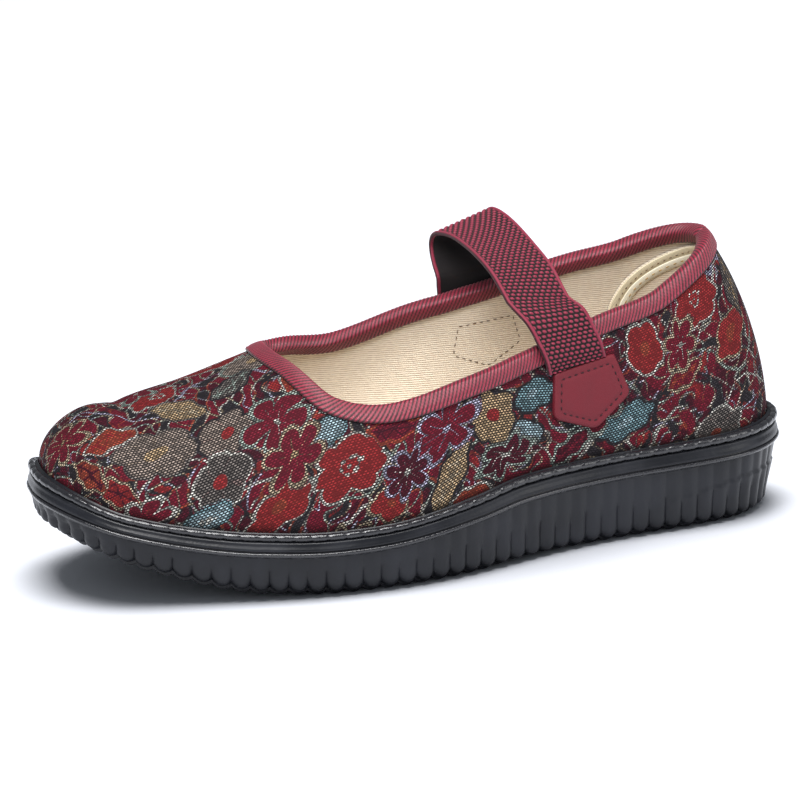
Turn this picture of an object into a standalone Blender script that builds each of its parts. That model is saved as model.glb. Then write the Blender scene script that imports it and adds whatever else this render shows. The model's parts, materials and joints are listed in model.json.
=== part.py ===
# Cloth shoe for the left foot: a moulded rubber sole with a ribbed side wall, a cloth upper
# cut low like a slipper, a bound collar, and one elastic strap over the instep, held at each
# end by a five-sided tab.
# Metres. +X runs to the toe, +Y to the outer side of the foot, +Z up. The origin is on the
# floor, under the middle of the shoe's box.
import math

import bmesh
import bpy
import numpy as np

# Main sizes
LENGTH = 0.247            # sole from heel to toe, at its lip
BALL_WIDTH = 0.092        # sole across the ball, at its lip
WALL_HEIGHT = 0.021       # rubber side wall at the heel, from the lobes up to the lip
RIM_HEIGHT = 0.0079       # from the lip up to the rim, at the heel
TOE_SPRING = 0.0195       # how far the toe's end lifts off the floor
HEEL_RISE = 0.076         # last above the rim, over the heel
INSTEP_RISE = 0.0665      # last above the rim, over the instep
TOE_RISE = 0.026          # last above the rim, over the toes
GAP = 0.0003              # room between two neighbouring pieces

# Sole
CUP_DEPTH = 0.010         # rim down to the floor of the cup that takes the upper
FEATHER_INSET = 0.0041    # lip line in to the line where the upper leaves the rim
TREAD = 0.0018            # tread bars below the lobes
TREAD_INSET = 0.0036      # lobes in to the bottom edge of the tread bars
ARCH_RECESS = 0.0010      # lift of the tread under the arch
RIB_PITCH = 0.00573       # from one rib of the side wall to the next
RIB_DEPTH = 0.0012        # groove between two ribs
LOBE_SHARE = 0.56         # part of a rib that stands proud
BELLY_HEIGHT = 0.0032     # lobes' lower end up to their fullest point
LIP_HEIGHT = 0.0016       # height of the lip that caps the ribs
LIP_STEP = 0.0009         # how far the lip stands proud of the ribs' upper end
TAPER = 0.0009            # ribs' lower end inside the lip line
HEEL_TUCK = 0.0034        # more of the same at the back of the heel
BEAD_HEIGHT = 0.0016      # bead that runs along the rim
BEAD_INSET = 0.0015       # bead inside the lip line

# Upper, insole and trims
WALL = 0.0020             # upper: cloth, stiffener and lining together
INSOLE = 0.0030
BINDING = 0.0010          # thickness of the folded tape on the collar
BINDING_OUTSIDE = 0.0048  # how far the tape reaches down outside the collar
BINDING_INSIDE = 0.0042   # and inside
STRAP_WIDTH = 0.0215
STRAP = 0.0014            # thickness of the elastic
STRAP_RISE = 0.0195       # top of the strap above the collar
STRAP_FORWARD = 0.0062    # how far the arch leans to the toe
STRAP_LEAN = 0.0045       # its outer end leans forward by this much up to the collar
STRAP_LEAN_INNER = 0.0015
STRAP_YAW = 8             # degrees that the strap's width is turned from the foot's axis
STRAP_TILT = 16           # degrees that its back edge is raised at its top
STRAP_TUCK = 0.0105       # strap below the collar's edge, down to the tab
TAB = 0.0012              # thickness of the tab
TAB_TOP = 0.0225          # width of the tab where it takes the strap
TAB_SHOULDER = 0.0290     # its width lower down
TAB_SIDE = 0.0138         # from its top down to the shoulders
TAB_POINT = 0.0077        # from there down to its point
TAB_LEAN = 8              # degrees that the tab's point is turned to the heel
TAB_LEAN_INNER = 6
GRIP = 0.0014             # heel grip, a padded piece glued inside the back
GRIP_REACH = 0.067        # how far it runs forward from the back of the heel
GRIP_TAPE = 0.0008        # thickness of the tape that edges it
GRIP_TAPE_WIDTH = 0.0062
THROAT = 0.692            # throat of the collar, as a share of the length
STRAP_OUTER = 0.319       # middle of the strap on the outer side, as a share of the length
STRAP_INNER = 0.379       # and on the inner side

# Lip line seen from above: share of the length from the heel, share of the ball width from
# the middle of the box. The outer side comes first, then the toe and the inner side.
OUTLINE = (
    # along, across
    (0.000, -0.023),
    (0.038, 0.160),
    (0.102, 0.252),
    (0.224, 0.288),
    (0.363, 0.353),
    (0.503, 0.467),
    (0.628, 0.499),
    (0.729, 0.466),
    (0.840, 0.390),
    (0.945, 0.275),
    (0.996, 0.070),
    (1.000, -0.061),
    (0.986, -0.233),
    (0.922, -0.377),
    (0.831, -0.475),
    (0.729, -0.500),
    (0.606, -0.458),
    (0.467, -0.343),
    (0.334, -0.345),
    (0.202, -0.370),
    (0.089, -0.341),
    (0.024, -0.233),
)

# Sole along the foot: lift of the lobes (share of TOE_SPRING), side wall (share of
# WALL_HEIGHT), rim (share of RIM_HEIGHT), arch (share of ARCH_RECESS), tuck (share of
# HEEL_TUCK)
SOLE = (
    # along, lift, wall, rim, arch, tuck
    (0.000, 0.000, 1.000, 1.000, 0.000, 1.000),
    (0.060, 0.000, 0.985, 0.960, 0.000, 0.450),
    (0.200, 0.000, 0.943, 0.885, 0.000, 0.000),
    (0.290, 0.000, 0.928, 0.870, 0.000, 0.000),
    (0.405, 0.000, 0.895, 0.860, 1.000, 0.000),
    (0.480, 0.000, 0.770, 0.800, 0.000, 0.000),
    (0.607, 0.000, 0.598, 0.735, 0.000, 0.000),
    (0.670, 0.006, 0.575, 0.735, 0.000, 0.000),
    (0.759, 0.080, 0.557, 0.740, 0.000, 0.000),
    (0.911, 0.590, 0.414, 0.700, 0.000, 0.100),
    (1.000, 1.000, 0.376, 0.920, 0.000, 0.200),
)

# Last along the foot: its rise above the rim as shares of the three rises, the fullness of
# its section (2 is an ellipse, more is squarer) and the place of its ridge (share of
# BALL_WIDTH)
LAST = (
    # along, of heel rise, of instep rise, of toe rise, fullness, ridge
    (0.000, 1.07, 0.00, 0.00, 1.60, -0.033),
    (0.199, 1.00, 0.00, 0.00, 1.60, -0.033),
    (0.304, 0.30, 0.68, 0.00, 2.10, -0.012),
    (0.455, 0.00, 1.00, 0.00, 2.22, -0.012),
    (0.587, 0.00, 0.70, 0.25, 2.21, -0.045),
    (0.688, 0.00, 0.50, 0.46, 2.18, -0.078),
    (0.789, 0.00, 0.25, 0.73, 2.21, -0.078),
    (0.886, 0.00, 0.00, 0.945, 2.27, -0.082),
    (1.000, 0.00, 0.00, 0.58, 2.27, -0.082),
)
HEEL_POLE = 0.199         # the last is rounded behind this share of the length
TOE_POLE = 0.886          # and before this one

# Collar: climb of its edge from the rim (0) to the ridge (1), against the square root of
# the distance behind the throat
COLLAR = (
    # behind the throat, outer side, inner side
    (0.00, 1.000, 1.000),
    (0.12, 0.800, 0.785),
    (0.25, 0.520, 0.690),
    (0.40, 0.400, 0.545),
    (0.60, 0.323, 0.465),
    (0.80, 0.440, 0.570),
    (1.00, 0.605, 0.605),
)

# Strap from its tab (0) up to the collar's edge (1), and where it climbs onto the tape
STRAP_FOOT = (
    # up, on the tape
    (0.00, 0.0),
    (0.12, 0.1),
    (0.36, 1.0),
    (0.70, 1.0),
    (1.00, 1.0),
    (1.35, 1.1),
)

# Strap from its outer end at the collar (0) to its inner one (1): height (share of
# STRAP_RISE), forward (share of STRAP_FORWARD), tilt (share of STRAP_TILT)
STRAP_ROUTE = (
    # across, height, forward, tilt
    (0.09, 0.42, 1.04, -0.10),
    (0.25, 0.70, 1.09, 0.00),
    (0.44, 0.88, 0.99, 0.10),
    (0.66, 0.96, 0.75, 0.35),
    (0.87, 1.00, 0.58, 0.70),
    (1.02, 0.97, 0.55, 1.00),
    (1.11, 0.86, 0.50, 1.00),
    (1.15, 0.52, 0.35, 0.80),
)

# Heel grip, as climbs of the last
GRIP_FOOT = 0.04          # its lower edge
GRIP_ROUND = 0.33         # less than 1 fills the shoulders of its arch

# Counts
LIP_SAMPLES = 1440        # fine walk round the lip line that the other lines are read from
STATIONS_BEHIND = 17      # meridians of the upper from the heel pole to the throat
STATIONS_BEFORE = 9       # from the throat to the toe pole
STATIONS_FAN = 15         # round the heel, and round the toe
CLIMB_STEPS = 9           # faces of the upper from the rim to its edge
STRAP_STATIONS = 33
STRAP_COLUMNS = 5
GRIP_STATIONS = 25


# Curves


def closed_spline(points, count):
    """Smooth closed curve through the points, as count points and its outward normals."""
    knots = np.asarray(points, float)
    n = len(knots)
    step = np.sqrt(np.linalg.norm(np.roll(knots, -1, 0) - knots, axis=1))
    matrix = np.zeros((n, n))
    right = np.zeros((n, 2))
    for i in range(n):
        before = step[i - 1]
        after = step[i]
        matrix[i, i - 1] += before
        matrix[i, i] += 2 * (before + after)
        matrix[i, (i + 1) % n] += after
        slope_after = (knots[(i + 1) % n] - knots[i]) / after
        slope_before = (knots[i] - knots[i - 1]) / before
        right[i] = 6 * (slope_after - slope_before)
    bend = np.linalg.solve(matrix, right)
    start = np.concatenate([[0], np.cumsum(step)])
    u = np.linspace(0, start[-1], 4 * count, endpoint=False)
    i = np.clip(np.searchsorted(start, u, side="right") - 1, 0, n - 1)
    j = (i + 1) % n
    h = step[i][:, None]
    a = (start[i + 1] - u)[:, None]
    b = (u - start[i])[:, None]
    fine = (bend[i] * a ** 3 + bend[j] * b ** 3) / (6 * h)
    fine += (knots[i] / h - bend[i] * h / 6) * a + (knots[j] / h - bend[j] * h / 6) * b
    return even_steps(fine, count)


def even_steps(curve, count):
    """Read a closed curve at count even steps of its length."""
    loop = np.vstack([curve, curve[:1]])
    length = np.concatenate([[0], np.cumsum(np.linalg.norm(np.diff(loop, axis=0), axis=1))])
    at = np.linspace(0, length[-1], count, endpoint=False)
    return np.stack([np.interp(at, length, loop[:, k]) for k in range(loop.shape[1])], 1)


def smooth(x, xs, ys):
    """Smooth curve through a table's rows that never overshoots them."""
    xs = np.asarray(xs, float)
    ys = np.asarray(ys, float)
    h = np.diff(xs)
    slope = np.diff(ys) / h
    tangent = np.zeros(len(xs))
    for k in range(1, len(xs) - 1):
        if slope[k - 1] * slope[k] > 0:
            w1 = 2 * h[k] + h[k - 1]
            w2 = h[k] + 2 * h[k - 1]
            tangent[k] = (w1 + w2) / (w1 / slope[k - 1] + w2 / slope[k])
    tangent[0] = slope[0]
    tangent[-1] = slope[-1]
    x = np.clip(x, xs[0], xs[-1])
    i = np.clip(np.searchsorted(xs, x, side="right") - 1, 0, len(xs) - 2)
    t = (x - xs[i]) / h[i]
    value = ys[i] * (1 + 2 * t) * (1 - t) ** 2 + ys[i + 1] * t * t * (3 - 2 * t)
    return value + h[i] * (tangent[i] * t * (1 - t) ** 2 - tangent[i + 1] * t * t * (1 - t))


def column(table, k, x):
    return smooth(x, [row[0] for row in table], [row[k] for row in table])


# Lines of the sole, as functions of a point's share of the length


def lobe_height(share):
    return TREAD + TOE_SPRING * column(SOLE, 1, share)


def lip_height(share):
    return lobe_height(share) + WALL_HEIGHT * column(SOLE, 2, share)


def rim_height(share):
    return lip_height(share) + RIM_HEIGHT * column(SOLE, 3, share)


def cup_floor(share):
    return rim_height(share) - CUP_DEPTH


def share_of(x):
    return np.clip(x / LENGTH + 0.5, 0, 1)


def lip_line():
    """Lip line as points and outward normals, from the heel round the outer side."""
    knots = [((along - 0.5) * LENGTH, across * BALL_WIDTH) for along, across in OUTLINE]
    line = closed_spline(knots, LIP_SAMPLES)
    run = np.roll(line, -1, 0) - np.roll(line, 1, 0)
    run /= np.linalg.norm(run, axis=1)[:, None]
    return line, np.stack([-run[:, 1], run[:, 0]], 1)


LIP, LIP_NORMAL = lip_line()
LIP_LENGTH = float(np.linalg.norm(np.roll(LIP, -1, 0) - LIP, axis=1).sum())
FEATHER = LIP - LIP_NORMAL * FEATHER_INSET


def read_loop(values, turn):
    """Read rows that run round a loop at shares of the way round it."""
    at = np.asarray(turn, float) % 1.0 * len(values)
    i = np.floor(at).astype(int) % len(values)
    t = (at - np.floor(at))[:, None]
    return values[i] * (1 - t) + values[(i + 1) % len(values)] * t


# Shape of the last, over which the upper is drawn


def rise(share):
    of_heel = HEEL_RISE * column(LAST, 1, share)
    of_instep = INSTEP_RISE * column(LAST, 2, share)
    return of_heel + of_instep + TOE_RISE * column(LAST, 3, share)


def last_point(turn, climb):
    """Point of the upper's outside, at a share round the feather line and a climb from the
    rim (0) to the ridge (1)."""
    turn = np.asarray(turn, float)
    climb = np.clip(climb, 0, 1) * math.pi / 2
    foot = read_loop(FEATHER, turn)
    share = share_of(foot[:, 0])
    pole = np.clip(share, HEEL_POLE, TOE_POLE)
    ridge = np.stack([(pole - 0.5) * LENGTH, column(LAST, 5, pole) * BALL_WIDTH], 1)
    fullness = column(LAST, 4, pole)
    inward = np.cos(climb) ** (2 / fullness)
    upward = np.sin(climb) ** (2 / fullness)
    plan = ridge + (foot - ridge) * inward[:, None]
    base = rim_height(share) * inward + rim_height(pole) * (1 - inward)
    height = base + rise(share_of(plan[:, 0])) * upward
    return np.column_stack([plan, height])


def collar_climb(turn):
    """Climb of the collar's edge: 1 before the throat, where the upper is closed."""
    foot = read_loop(FEATHER, turn)
    share = share_of(foot[:, 0])
    behind = np.sqrt(np.clip((THROAT - share) / THROAT, 0, 1))
    outer = column(COLLAR, 1, behind)
    inner = column(COLLAR, 2, behind)
    return np.where(np.asarray(turn) % 1.0 < toe_turn(), outer, inner)


def toe_turn():
    return float(np.argmax(FEATHER[:, 0])) / LIP_SAMPLES


def turn_at(share, outer):
    """Share round the feather line of the foot at a share of the length, on one side."""
    x = (np.asarray(share, float) - 0.5) * LENGTH
    top = int(np.argmax(FEATHER[:, 0]))
    low = int(np.argmin(FEATHER[:, 0]))
    if low > LIP_SAMPLES // 2:
        low -= LIP_SAMPLES
    if outer:
        k = np.arange(low, top + 1)
    else:
        k = np.arange(low + LIP_SAMPLES, top - 1, -1)
    return np.interp(x, FEATHER[k % LIP_SAMPLES, 0], k / LIP_SAMPLES)


def upper_turns(behind, before, fan):
    """Where the upper's meridians stand, round the feather line from the middle of the heel.
    Those of the two sides share their places along the foot, so they meet on the ridge."""
    reach = math.sqrt((THROAT - HEEL_POLE) / THROAT)
    back = THROAT * (1 - np.linspace(reach, 0, behind) ** 2)
    front = np.linspace(THROAT, TOE_POLE, before + 1)[1:]
    stations = np.concatenate([back, front])
    outer = turn_at(stations, True)
    inner = turn_at(stations, False)[::-1]
    heel = np.linspace(inner[-1] - 1, outer[0], fan + 2)[1:-1]
    toe = np.linspace(outer[-1], inner[0], fan + 2)[1:-1]
    half = fan // 2
    return np.concatenate([heel[half:], outer, toe, inner, heel[:half] + 1])


# Places on the upper, reached from a point of its surface


def slopes(turn, climb):
    """Change of the surface along the foot and up the last, at each place."""
    step = 0.002
    low = np.maximum(climb - step, 0)
    high = np.minimum(climb + step, 1)
    along = (last_point(turn + step, climb) - last_point(turn - step, climb)) / (2 * step)
    up = (last_point(turn, high) - last_point(turn, low)) / (high - low)[:, None]
    return along, up


def normals_at(turn, climb):
    along, up = slopes(turn, np.minimum(climb, 0.985))
    normal = np.cross(up, along)
    return normal / np.linalg.norm(normal, axis=1)[:, None]


def nearest(target, turn, climb):
    """Walk on the surface from a place to the one nearest to the target."""
    for _ in range(4):
        miss = target - last_point(turn, climb)
        along, up = slopes(turn, climb)
        aa = (along * along).sum(1)
        ab = (along * up).sum(1)
        bb = (up * up).sum(1)
        ma = (miss * along).sum(1)
        mb = (miss * up).sum(1)
        det = aa * bb - ab * ab
        turn = turn + (bb * ma - ab * mb) / det
        climb = np.clip(climb + (aa * mb - ab * ma) / det, 0, 1)
    return turn, climb


def lay(turn, climb, back, down, lift):
    """Points on the upper round one place: back towards the heel and down the wall along
    the surface, then lifted off it."""
    turn = np.full(np.shape(back), float(turn))
    climb = np.full(np.shape(back), float(climb))
    normal = normals_at(turn, climb)
    level = np.cross(normal, (0, 0, 1))
    level /= np.linalg.norm(level, axis=1)[:, None]
    level *= -np.sign(level[:, :1])
    fall = np.cross(normal, level)
    fall *= -np.sign(fall[:, 2:])
    target = last_point(turn, climb) + level * back[:, None] + fall * down[:, None]
    turn, climb = nearest(target, turn, climb)
    return last_point(turn, climb) + normals_at(turn, climb) * np.reshape(lift, (-1, 1))


# Solids from grids and rings


def material(name, color, roughness):
    made = bpy.data.materials.new(name)
    made.use_nodes = True
    shader = made.node_tree.nodes["Principled BSDF"]
    shader.inputs["Base Color"].default_value = (*color, 1)
    shader.inputs["Roughness"].default_value = roughness
    made.diffuse_color = (*color, 1)
    return made


def add_object(name, points, faces, finish):
    """Object from points and faces, with doubled points joined and faces turned out."""
    mesh = bpy.data.meshes.new(name)
    shape = bmesh.new()
    verts = [shape.verts.new(p) for p in points]
    for face in faces:
        corners = list(dict.fromkeys(face))
        if len(corners) > 2:
            shape.faces.new([verts[k] for k in corners])
    bmesh.ops.remove_doubles(shape, verts=shape.verts, dist=1e-6)
    bmesh.ops.recalc_face_normals(shape, faces=shape.faces)
    shape.to_mesh(mesh)
    shape.free()
    mesh.materials.append(finish)
    mesh.shade_smooth()
    mesh.set_sharp_from_angle(angle=math.radians(40))
    made = bpy.data.objects.new(name, mesh)
    bpy.context.collection.objects.link(made)
    return made


def band_faces(first, second, count):
    """Faces between two closed rings of count points that start at the given numbers."""
    rounds = []
    for i in range(count):
        j = (i + 1) % count
        rounds.append((first + i, first + j, second + j, second + i))
    return rounds


def cross_faces(first, count):
    """Faces that fill a ring by strips from its outer side across to its inner side."""
    strips = []
    for i in range((count + 1) // 2):
        far = (count - i) % count
        strips.append((first + i, first + i + 1, first + count - i - 1, first + far))
    return strips


def level_faces(first, ring):
    """Faces that fill a ring, sewn across from its outer to its inner side in order of x."""
    count = len(ring)
    back = int(np.argmin(ring[:, 0]))
    front = int(np.argmax(ring[:, 0]))
    outer = [(back + k) % count for k in range((front - back) % count + 1)]
    inner = [(back - k) % count for k in range((back - front) % count + 1)]
    strips = []
    i = 0
    j = 0
    while i < len(outer) - 1 or j < len(inner) - 1:
        ahead_outer = ring[outer[i + 1], 0] if i < len(outer) - 1 else math.inf
        ahead_inner = ring[inner[j + 1], 0] if j < len(inner) - 1 else math.inf
        if ahead_outer <= ahead_inner:
            strips.append((first + outer[i], first + outer[i + 1], first + inner[j]))
            i += 1
        else:
            strips.append((first + outer[i], first + inner[j + 1], first + inner[j]))
            j += 1
    return strips


def ring_solid(name, rings, bars, finish):
    """Closed solid from rings of equal count. Its bottom is filled by bars or level."""
    count = len(rings[0])
    faces = cross_faces(0, count) if bars else level_faces(0, rings[0])
    for k in range(len(rings) - 1):
        faces += band_faces(k * count, (k + 1) * count, count)
    faces += level_faces((len(rings) - 1) * count, rings[-1])
    return add_object(name, np.vstack(rings), faces, finish)


def sheet_solid(name, under, over, finish):
    """Closed solid between two grids of points of one shape, rows by columns."""
    rows, columns = under.shape[:2]
    size = rows * columns
    faces = []
    for r in range(rows - 1):
        for c in range(columns - 1):
            k = r * columns + c
            corners = (k, k + 1, k + columns + 1, k + columns)
            faces.append(corners)
            faces.append(tuple(size + m for m in corners))
    border = [c for c in range(columns)]
    border += [r * columns + columns - 1 for r in range(1, rows)]
    border += [(rows - 1) * columns + c for c in range(columns - 2, -1, -1)]
    border += [r * columns for r in range(rows - 2, 0, -1)]
    for k, here in enumerate(border):
        there = border[(k + 1) % len(border)]
        faces.append((here, there, size + there, size + here))
    points = np.vstack([under.reshape(-1, 3), over.reshape(-1, 3)])
    return add_object(name, points, faces, finish)


# Pieces


def outsole(finish):
    """Cup sole: ripple tread, ribbed wall with rounded lobes, lip, bead and inner cup."""
    ribs = round(LIP_LENGTH / RIB_PITCH)
    turn = []
    groove = []
    for k in range(ribs):
        turn += [k / ribs, (k + 0.5 - LOBE_SHARE / 2) / ribs, (k + 0.5 + LOBE_SHARE / 2) / ribs]
        groove += [1, 0, 0]
    groove = np.array(groove, float)
    line = read_loop(LIP, turn)
    out = read_loop(LIP_NORMAL, turn)
    share = share_of(line[:, 0])
    lobe = lobe_height(share)
    lip = lip_height(share)
    rim = rim_height(share)
    tuck = TAPER + HEEL_TUCK * column(SOLE, 5, share)
    arch = ARCH_RECESS * column(SOLE, 4, share)
    cut = RIB_DEPTH * groove

    def ring(inset, height):
        return np.column_stack([line - out * np.reshape(inset, (-1, 1)), height])

    cup = FEATHER_INSET - GAP
    rings = [
        ring(tuck + TREAD_INSET, lobe - TREAD + arch + cut),
        ring(tuck + cut, lobe + cut),
        ring(tuck / 2 + cut, lobe + BELLY_HEIGHT),
        ring(LIP_STEP + cut / 4, lip - LIP_HEIGHT),
        ring(0 * cut, lip),
        ring(BEAD_INSET + 0 * cut, rim - BEAD_HEIGHT),
        ring(cup + 0 * cut, rim),
    ]
    inside = rings[-1].copy()
    inside[:, 2] = cup_floor(share_of(inside[:, 0]))
    return ring_solid("outsole", rings + [inside], True, finish)


def upper(finish):
    """Hollow cloth upper: a skirt inside the cup, then up over the last to the collar."""
    turns = upper_turns(STATIONS_BEHIND, STATIONS_BEFORE, STATIONS_FAN)
    foot = read_loop(FEATHER, turns)
    share = share_of(foot[:, 0])
    edge = np.where(share < THROAT - 1e-9, collar_climb(turns), 1)
    rings = [np.column_stack([foot, cup_floor(share) + GAP])]
    for k in range(CLIMB_STEPS + 1):
        rings.append(last_point(turns, edge * k / CLIMB_STEPS))
    count = len(turns)
    faces = []
    for k in range(len(rings) - 1):
        faces += band_faces(k * count, (k + 1) * count, count)
    made = add_object("upper", np.vstack(rings), faces, finish)
    wall = made.modifiers.new("wall", "SOLIDIFY")
    wall.thickness = WALL
    wall.offset = -1
    wall.use_even_offset = True
    wall.use_quality_normals = True
    return made


def insole(finish):
    turns = upper_turns(STATIONS_BEHIND, STATIONS_BEFORE, STATIONS_FAN)
    plan = read_loop(FEATHER, turns) - read_loop(LIP_NORMAL, turns) * (WALL + GAP)
    bottom = cup_floor(share_of(plan[:, 0])) + GAP
    rings = [np.column_stack([plan, bottom]), np.column_stack([plan, bottom + INSOLE])]
    return ring_solid("insole", rings, False, finish)


def collar_ring():
    """Places on the collar's edge, one on each open meridian of the upper."""
    turns = upper_turns(STATIONS_BEHIND, STATIONS_BEFORE, STATIONS_FAN)
    behind = THROAT - share_of(read_loop(FEATHER, turns)[:, 0])
    turns = turns[behind > -1e-6]
    climb = collar_climb(turns)
    points = last_point(turns, climb)
    apart = np.linalg.norm(np.roll(points, -1, 0) - points, axis=1) > 1e-5
    return turns[apart], climb[apart]


def collar_frame():
    """Places on the collar's edge, their normals and the way from the edge into the cloth."""
    turn, climb = collar_ring()
    points = last_point(turn, climb)
    run = np.roll(points, -1, 0) - np.roll(points, 1, 0)
    run /= np.linalg.norm(run, axis=1)[:, None]
    normal = normals_at(turn, climb)
    into = np.cross(normal, run)
    into /= np.linalg.norm(into, axis=1)[:, None]
    return turn, climb, points, normal, into


def collar_binding(finish):
    """Tape folded over the collar's edge, a U in section."""
    turn, climb, points, normal, into = collar_frame()
    outer = GAP + BINDING
    lined = -WALL - 2 * GAP
    inner = lined - BINDING
    middle = (outer + inner) / 2
    half = (outer - inner) / 2
    top = [(outer, BINDING_OUTSIDE), (outer, BINDING_OUTSIDE / 2)]
    for angle in (0, 45, 90, 135, 180):
        turned = math.radians(angle)
        top.append((middle + half * math.cos(turned), -outer * math.sin(turned)))
    top += [(inner, BINDING_INSIDE / 2), (inner, BINDING_INSIDE)]
    slot = [
        (lined, BINDING_INSIDE),
        (lined, BINDING_INSIDE / 2),
        (lined, -GAP),
        (GAP, -GAP),
        (GAP, BINDING_OUTSIDE / 2),
        (GAP, BINDING_OUTSIDE),
    ]
    rings = []
    for lift, depth in top + slot:
        if depth > 0:
            there, height = nearest(points + into * depth, turn, climb)
            rings.append(last_point(there, height) + normals_at(there, height) * lift)
        else:
            rings.append(points + into * depth + normal * lift)
    count = len(turn)
    faces = []
    for k in range(len(rings)):
        faces += band_faces(k * count, (k + 1) % len(rings) * count, count)
    return add_object("collar_binding", np.vstack(rings), faces, finish)


def strap_end(outer):
    """Place where the strap leaves its tab, under the collar's edge on one side."""
    share = STRAP_OUTER if outer else STRAP_INNER
    turn = turn_at([share], outer)
    climb = collar_climb(turn)
    point = last_point(turn, climb)
    fall = np.array([[0, 0, -STRAP_TUCK]])
    turn, climb = nearest(point + fall, turn, climb)
    return float(turn[0]), float(climb[0])


def strap_foot(outer):
    """Rows of the strap from its tab up over the binding, from its front edge to its back."""
    turn, climb = strap_end(outer)
    lean = math.radians(TAB_LEAN if outer else TAB_LEAN_INNER)
    forward = STRAP_LEAN if outer else STRAP_LEAN_INNER
    side = np.linspace(-STRAP_WIDTH / 2, STRAP_WIDTH / 2, STRAP_COLUMNS)
    on_cloth = GAP + STRAP / 2
    on_tape = 2 * GAP + BINDING + STRAP / 2
    rows = []
    for up, tape in STRAP_FOOT:
        back = side * math.cos(lean) - forward * up
        down = -side * math.sin(lean) - STRAP_TUCK * up
        lift = on_cloth + (on_tape - on_cloth) * tape
        rows.append(lay(turn, climb, back, down, np.full(STRAP_COLUMNS, lift)))
    return rows


def strap_rows():
    """Rows of the strap's middle layer, from the outer tab to the inner one."""
    first = strap_foot(True)
    last = strap_foot(False)
    start = first[-2].mean(0)
    end = last[-2].mean(0)
    rows = list(first)
    for across, height, forward, tilt in STRAP_ROUTE:
        middle = start + (end - start) * across
        middle[0] += STRAP_FORWARD * forward
        middle[2] += STRAP_RISE * height
        turned = math.radians(STRAP_YAW)
        raised = math.radians(STRAP_TILT * tilt)
        wide = np.array([-math.cos(turned), -math.sin(turned), 0]) * math.cos(raised)
        wide[2] = math.sin(raised)
        side = np.linspace(-STRAP_WIDTH / 2, STRAP_WIDTH / 2, STRAP_COLUMNS)
        rows.append(middle + side[:, None] * wide)
    return np.array(rows + last[::-1])


def open_spline(points, count):
    """Smooth curve through rows of points, read at even steps of its length."""
    knots = points.reshape(len(points), -1)
    step = np.sqrt(np.linalg.norm(np.diff(knots, axis=0), axis=1))
    n = len(knots)
    matrix = np.zeros((n, n))
    right = np.zeros(knots.shape)
    matrix[0, 0] = 1
    matrix[-1, -1] = 1
    for i in range(1, n - 1):
        matrix[i, i - 1] = step[i - 1]
        matrix[i, i] = 2 * (step[i - 1] + step[i])
        matrix[i, i + 1] = step[i]
        slope_after = (knots[i + 1] - knots[i]) / step[i]
        slope_before = (knots[i] - knots[i - 1]) / step[i - 1]
        right[i] = 6 * (slope_after - slope_before)
    bend = np.linalg.solve(matrix, right)
    start = np.concatenate([[0], np.cumsum(step)])
    u = np.linspace(0, start[-1], 12 * n)
    i = np.clip(np.searchsorted(start, u, side="right") - 1, 0, n - 2)
    h = step[i][:, None]
    a = (start[i + 1] - u)[:, None]
    b = (u - start[i])[:, None]
    fine = (bend[i] * a ** 3 + bend[i + 1] * b ** 3) / (6 * h)
    fine += (knots[i] / h - bend[i] * h / 6) * a + (knots[i + 1] / h - bend[i + 1] * h / 6) * b
    length = np.concatenate([[0], np.cumsum(np.linalg.norm(np.diff(fine, axis=0), axis=1))])
    at = np.linspace(0, length[-1], count)
    even = np.stack([np.interp(at, length, fine[:, k]) for k in range(fine.shape[1])], 1)
    return even.reshape(count, *points.shape[1:])


def strap(finish):
    """Elastic strap: a flat band that stands in an arch between its two tabs."""
    rows = open_spline(strap_rows(), STRAP_STATIONS)
    run = np.gradient(rows, axis=0)
    wide = np.gradient(rows, axis=1)
    out = np.cross(run, wide)
    lift = out / np.linalg.norm(out, axis=2)[:, :, None] * STRAP / 2
    return sheet_solid("strap", rows - lift, rows + lift, finish)


def tab(name, outer, finish):
    """Five-sided tab that holds an end of the strap on the upper."""
    turn, climb = strap_end(outer)
    lean = math.radians(TAB_LEAN if outer else TAB_LEAN_INNER)
    outline = (
        (GAP, TAB_TOP / 2),
        (TAB_SIDE / 2, (TAB_TOP + TAB_SHOULDER) / 4),
        (TAB_SIDE, TAB_SHOULDER / 2),
        (TAB_SIDE + TAB_POINT / 2, TAB_SHOULDER / 4),
        (TAB_SIDE + TAB_POINT, 0),
    )
    under = []
    over = []
    for depth, half in outline:
        side = np.linspace(-half, half, 5)
        back = side * math.cos(lean) + depth * math.sin(lean)
        down = depth * math.cos(lean) - side * math.sin(lean)
        under.append(lay(turn, climb, back, down, np.full(5, GAP)))
        over.append(lay(turn, climb, back, down, np.full(5, GAP + TAB)))
    return sheet_solid(name, np.array(under), np.array(over), finish)


def grip_arch(count):
    """Upper edge of the heel grip: places from its inner end over the heel to its outer."""
    girth = float(np.linalg.norm(np.roll(FEATHER, -1, 0) - FEATHER, axis=1).sum())
    swing = np.linspace(-1, 1, count) * math.pi / 2
    turn = np.sin(swing) * GRIP_REACH / girth
    edge = collar_climb(turn)
    points = last_point(turn, edge)
    fall = np.array([[0, 0, -BINDING_INSIDE - 2 * GAP - BINDING]])
    turn_top, top = nearest(points + fall, turn, edge)
    climb = GRIP_FOOT + (top - GRIP_FOOT) * np.cos(swing) ** GRIP_ROUND
    return turn, climb


def grip_edge():
    """Rows of places across the tape, from the grip's upper edge inwards."""
    turn, climb = grip_arch(GRIP_STATIONS)
    points = last_point(turn, climb)
    run = np.gradient(points, axis=0)
    run /= np.linalg.norm(run, axis=1)[:, None]
    down = np.cross(normals_at(turn, climb), run)
    rows = []
    for share in (0, 0.5, 1):
        rows.append(nearest(points + down * GRIP_TAPE_WIDTH * share, turn, climb))
    return rows


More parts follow.
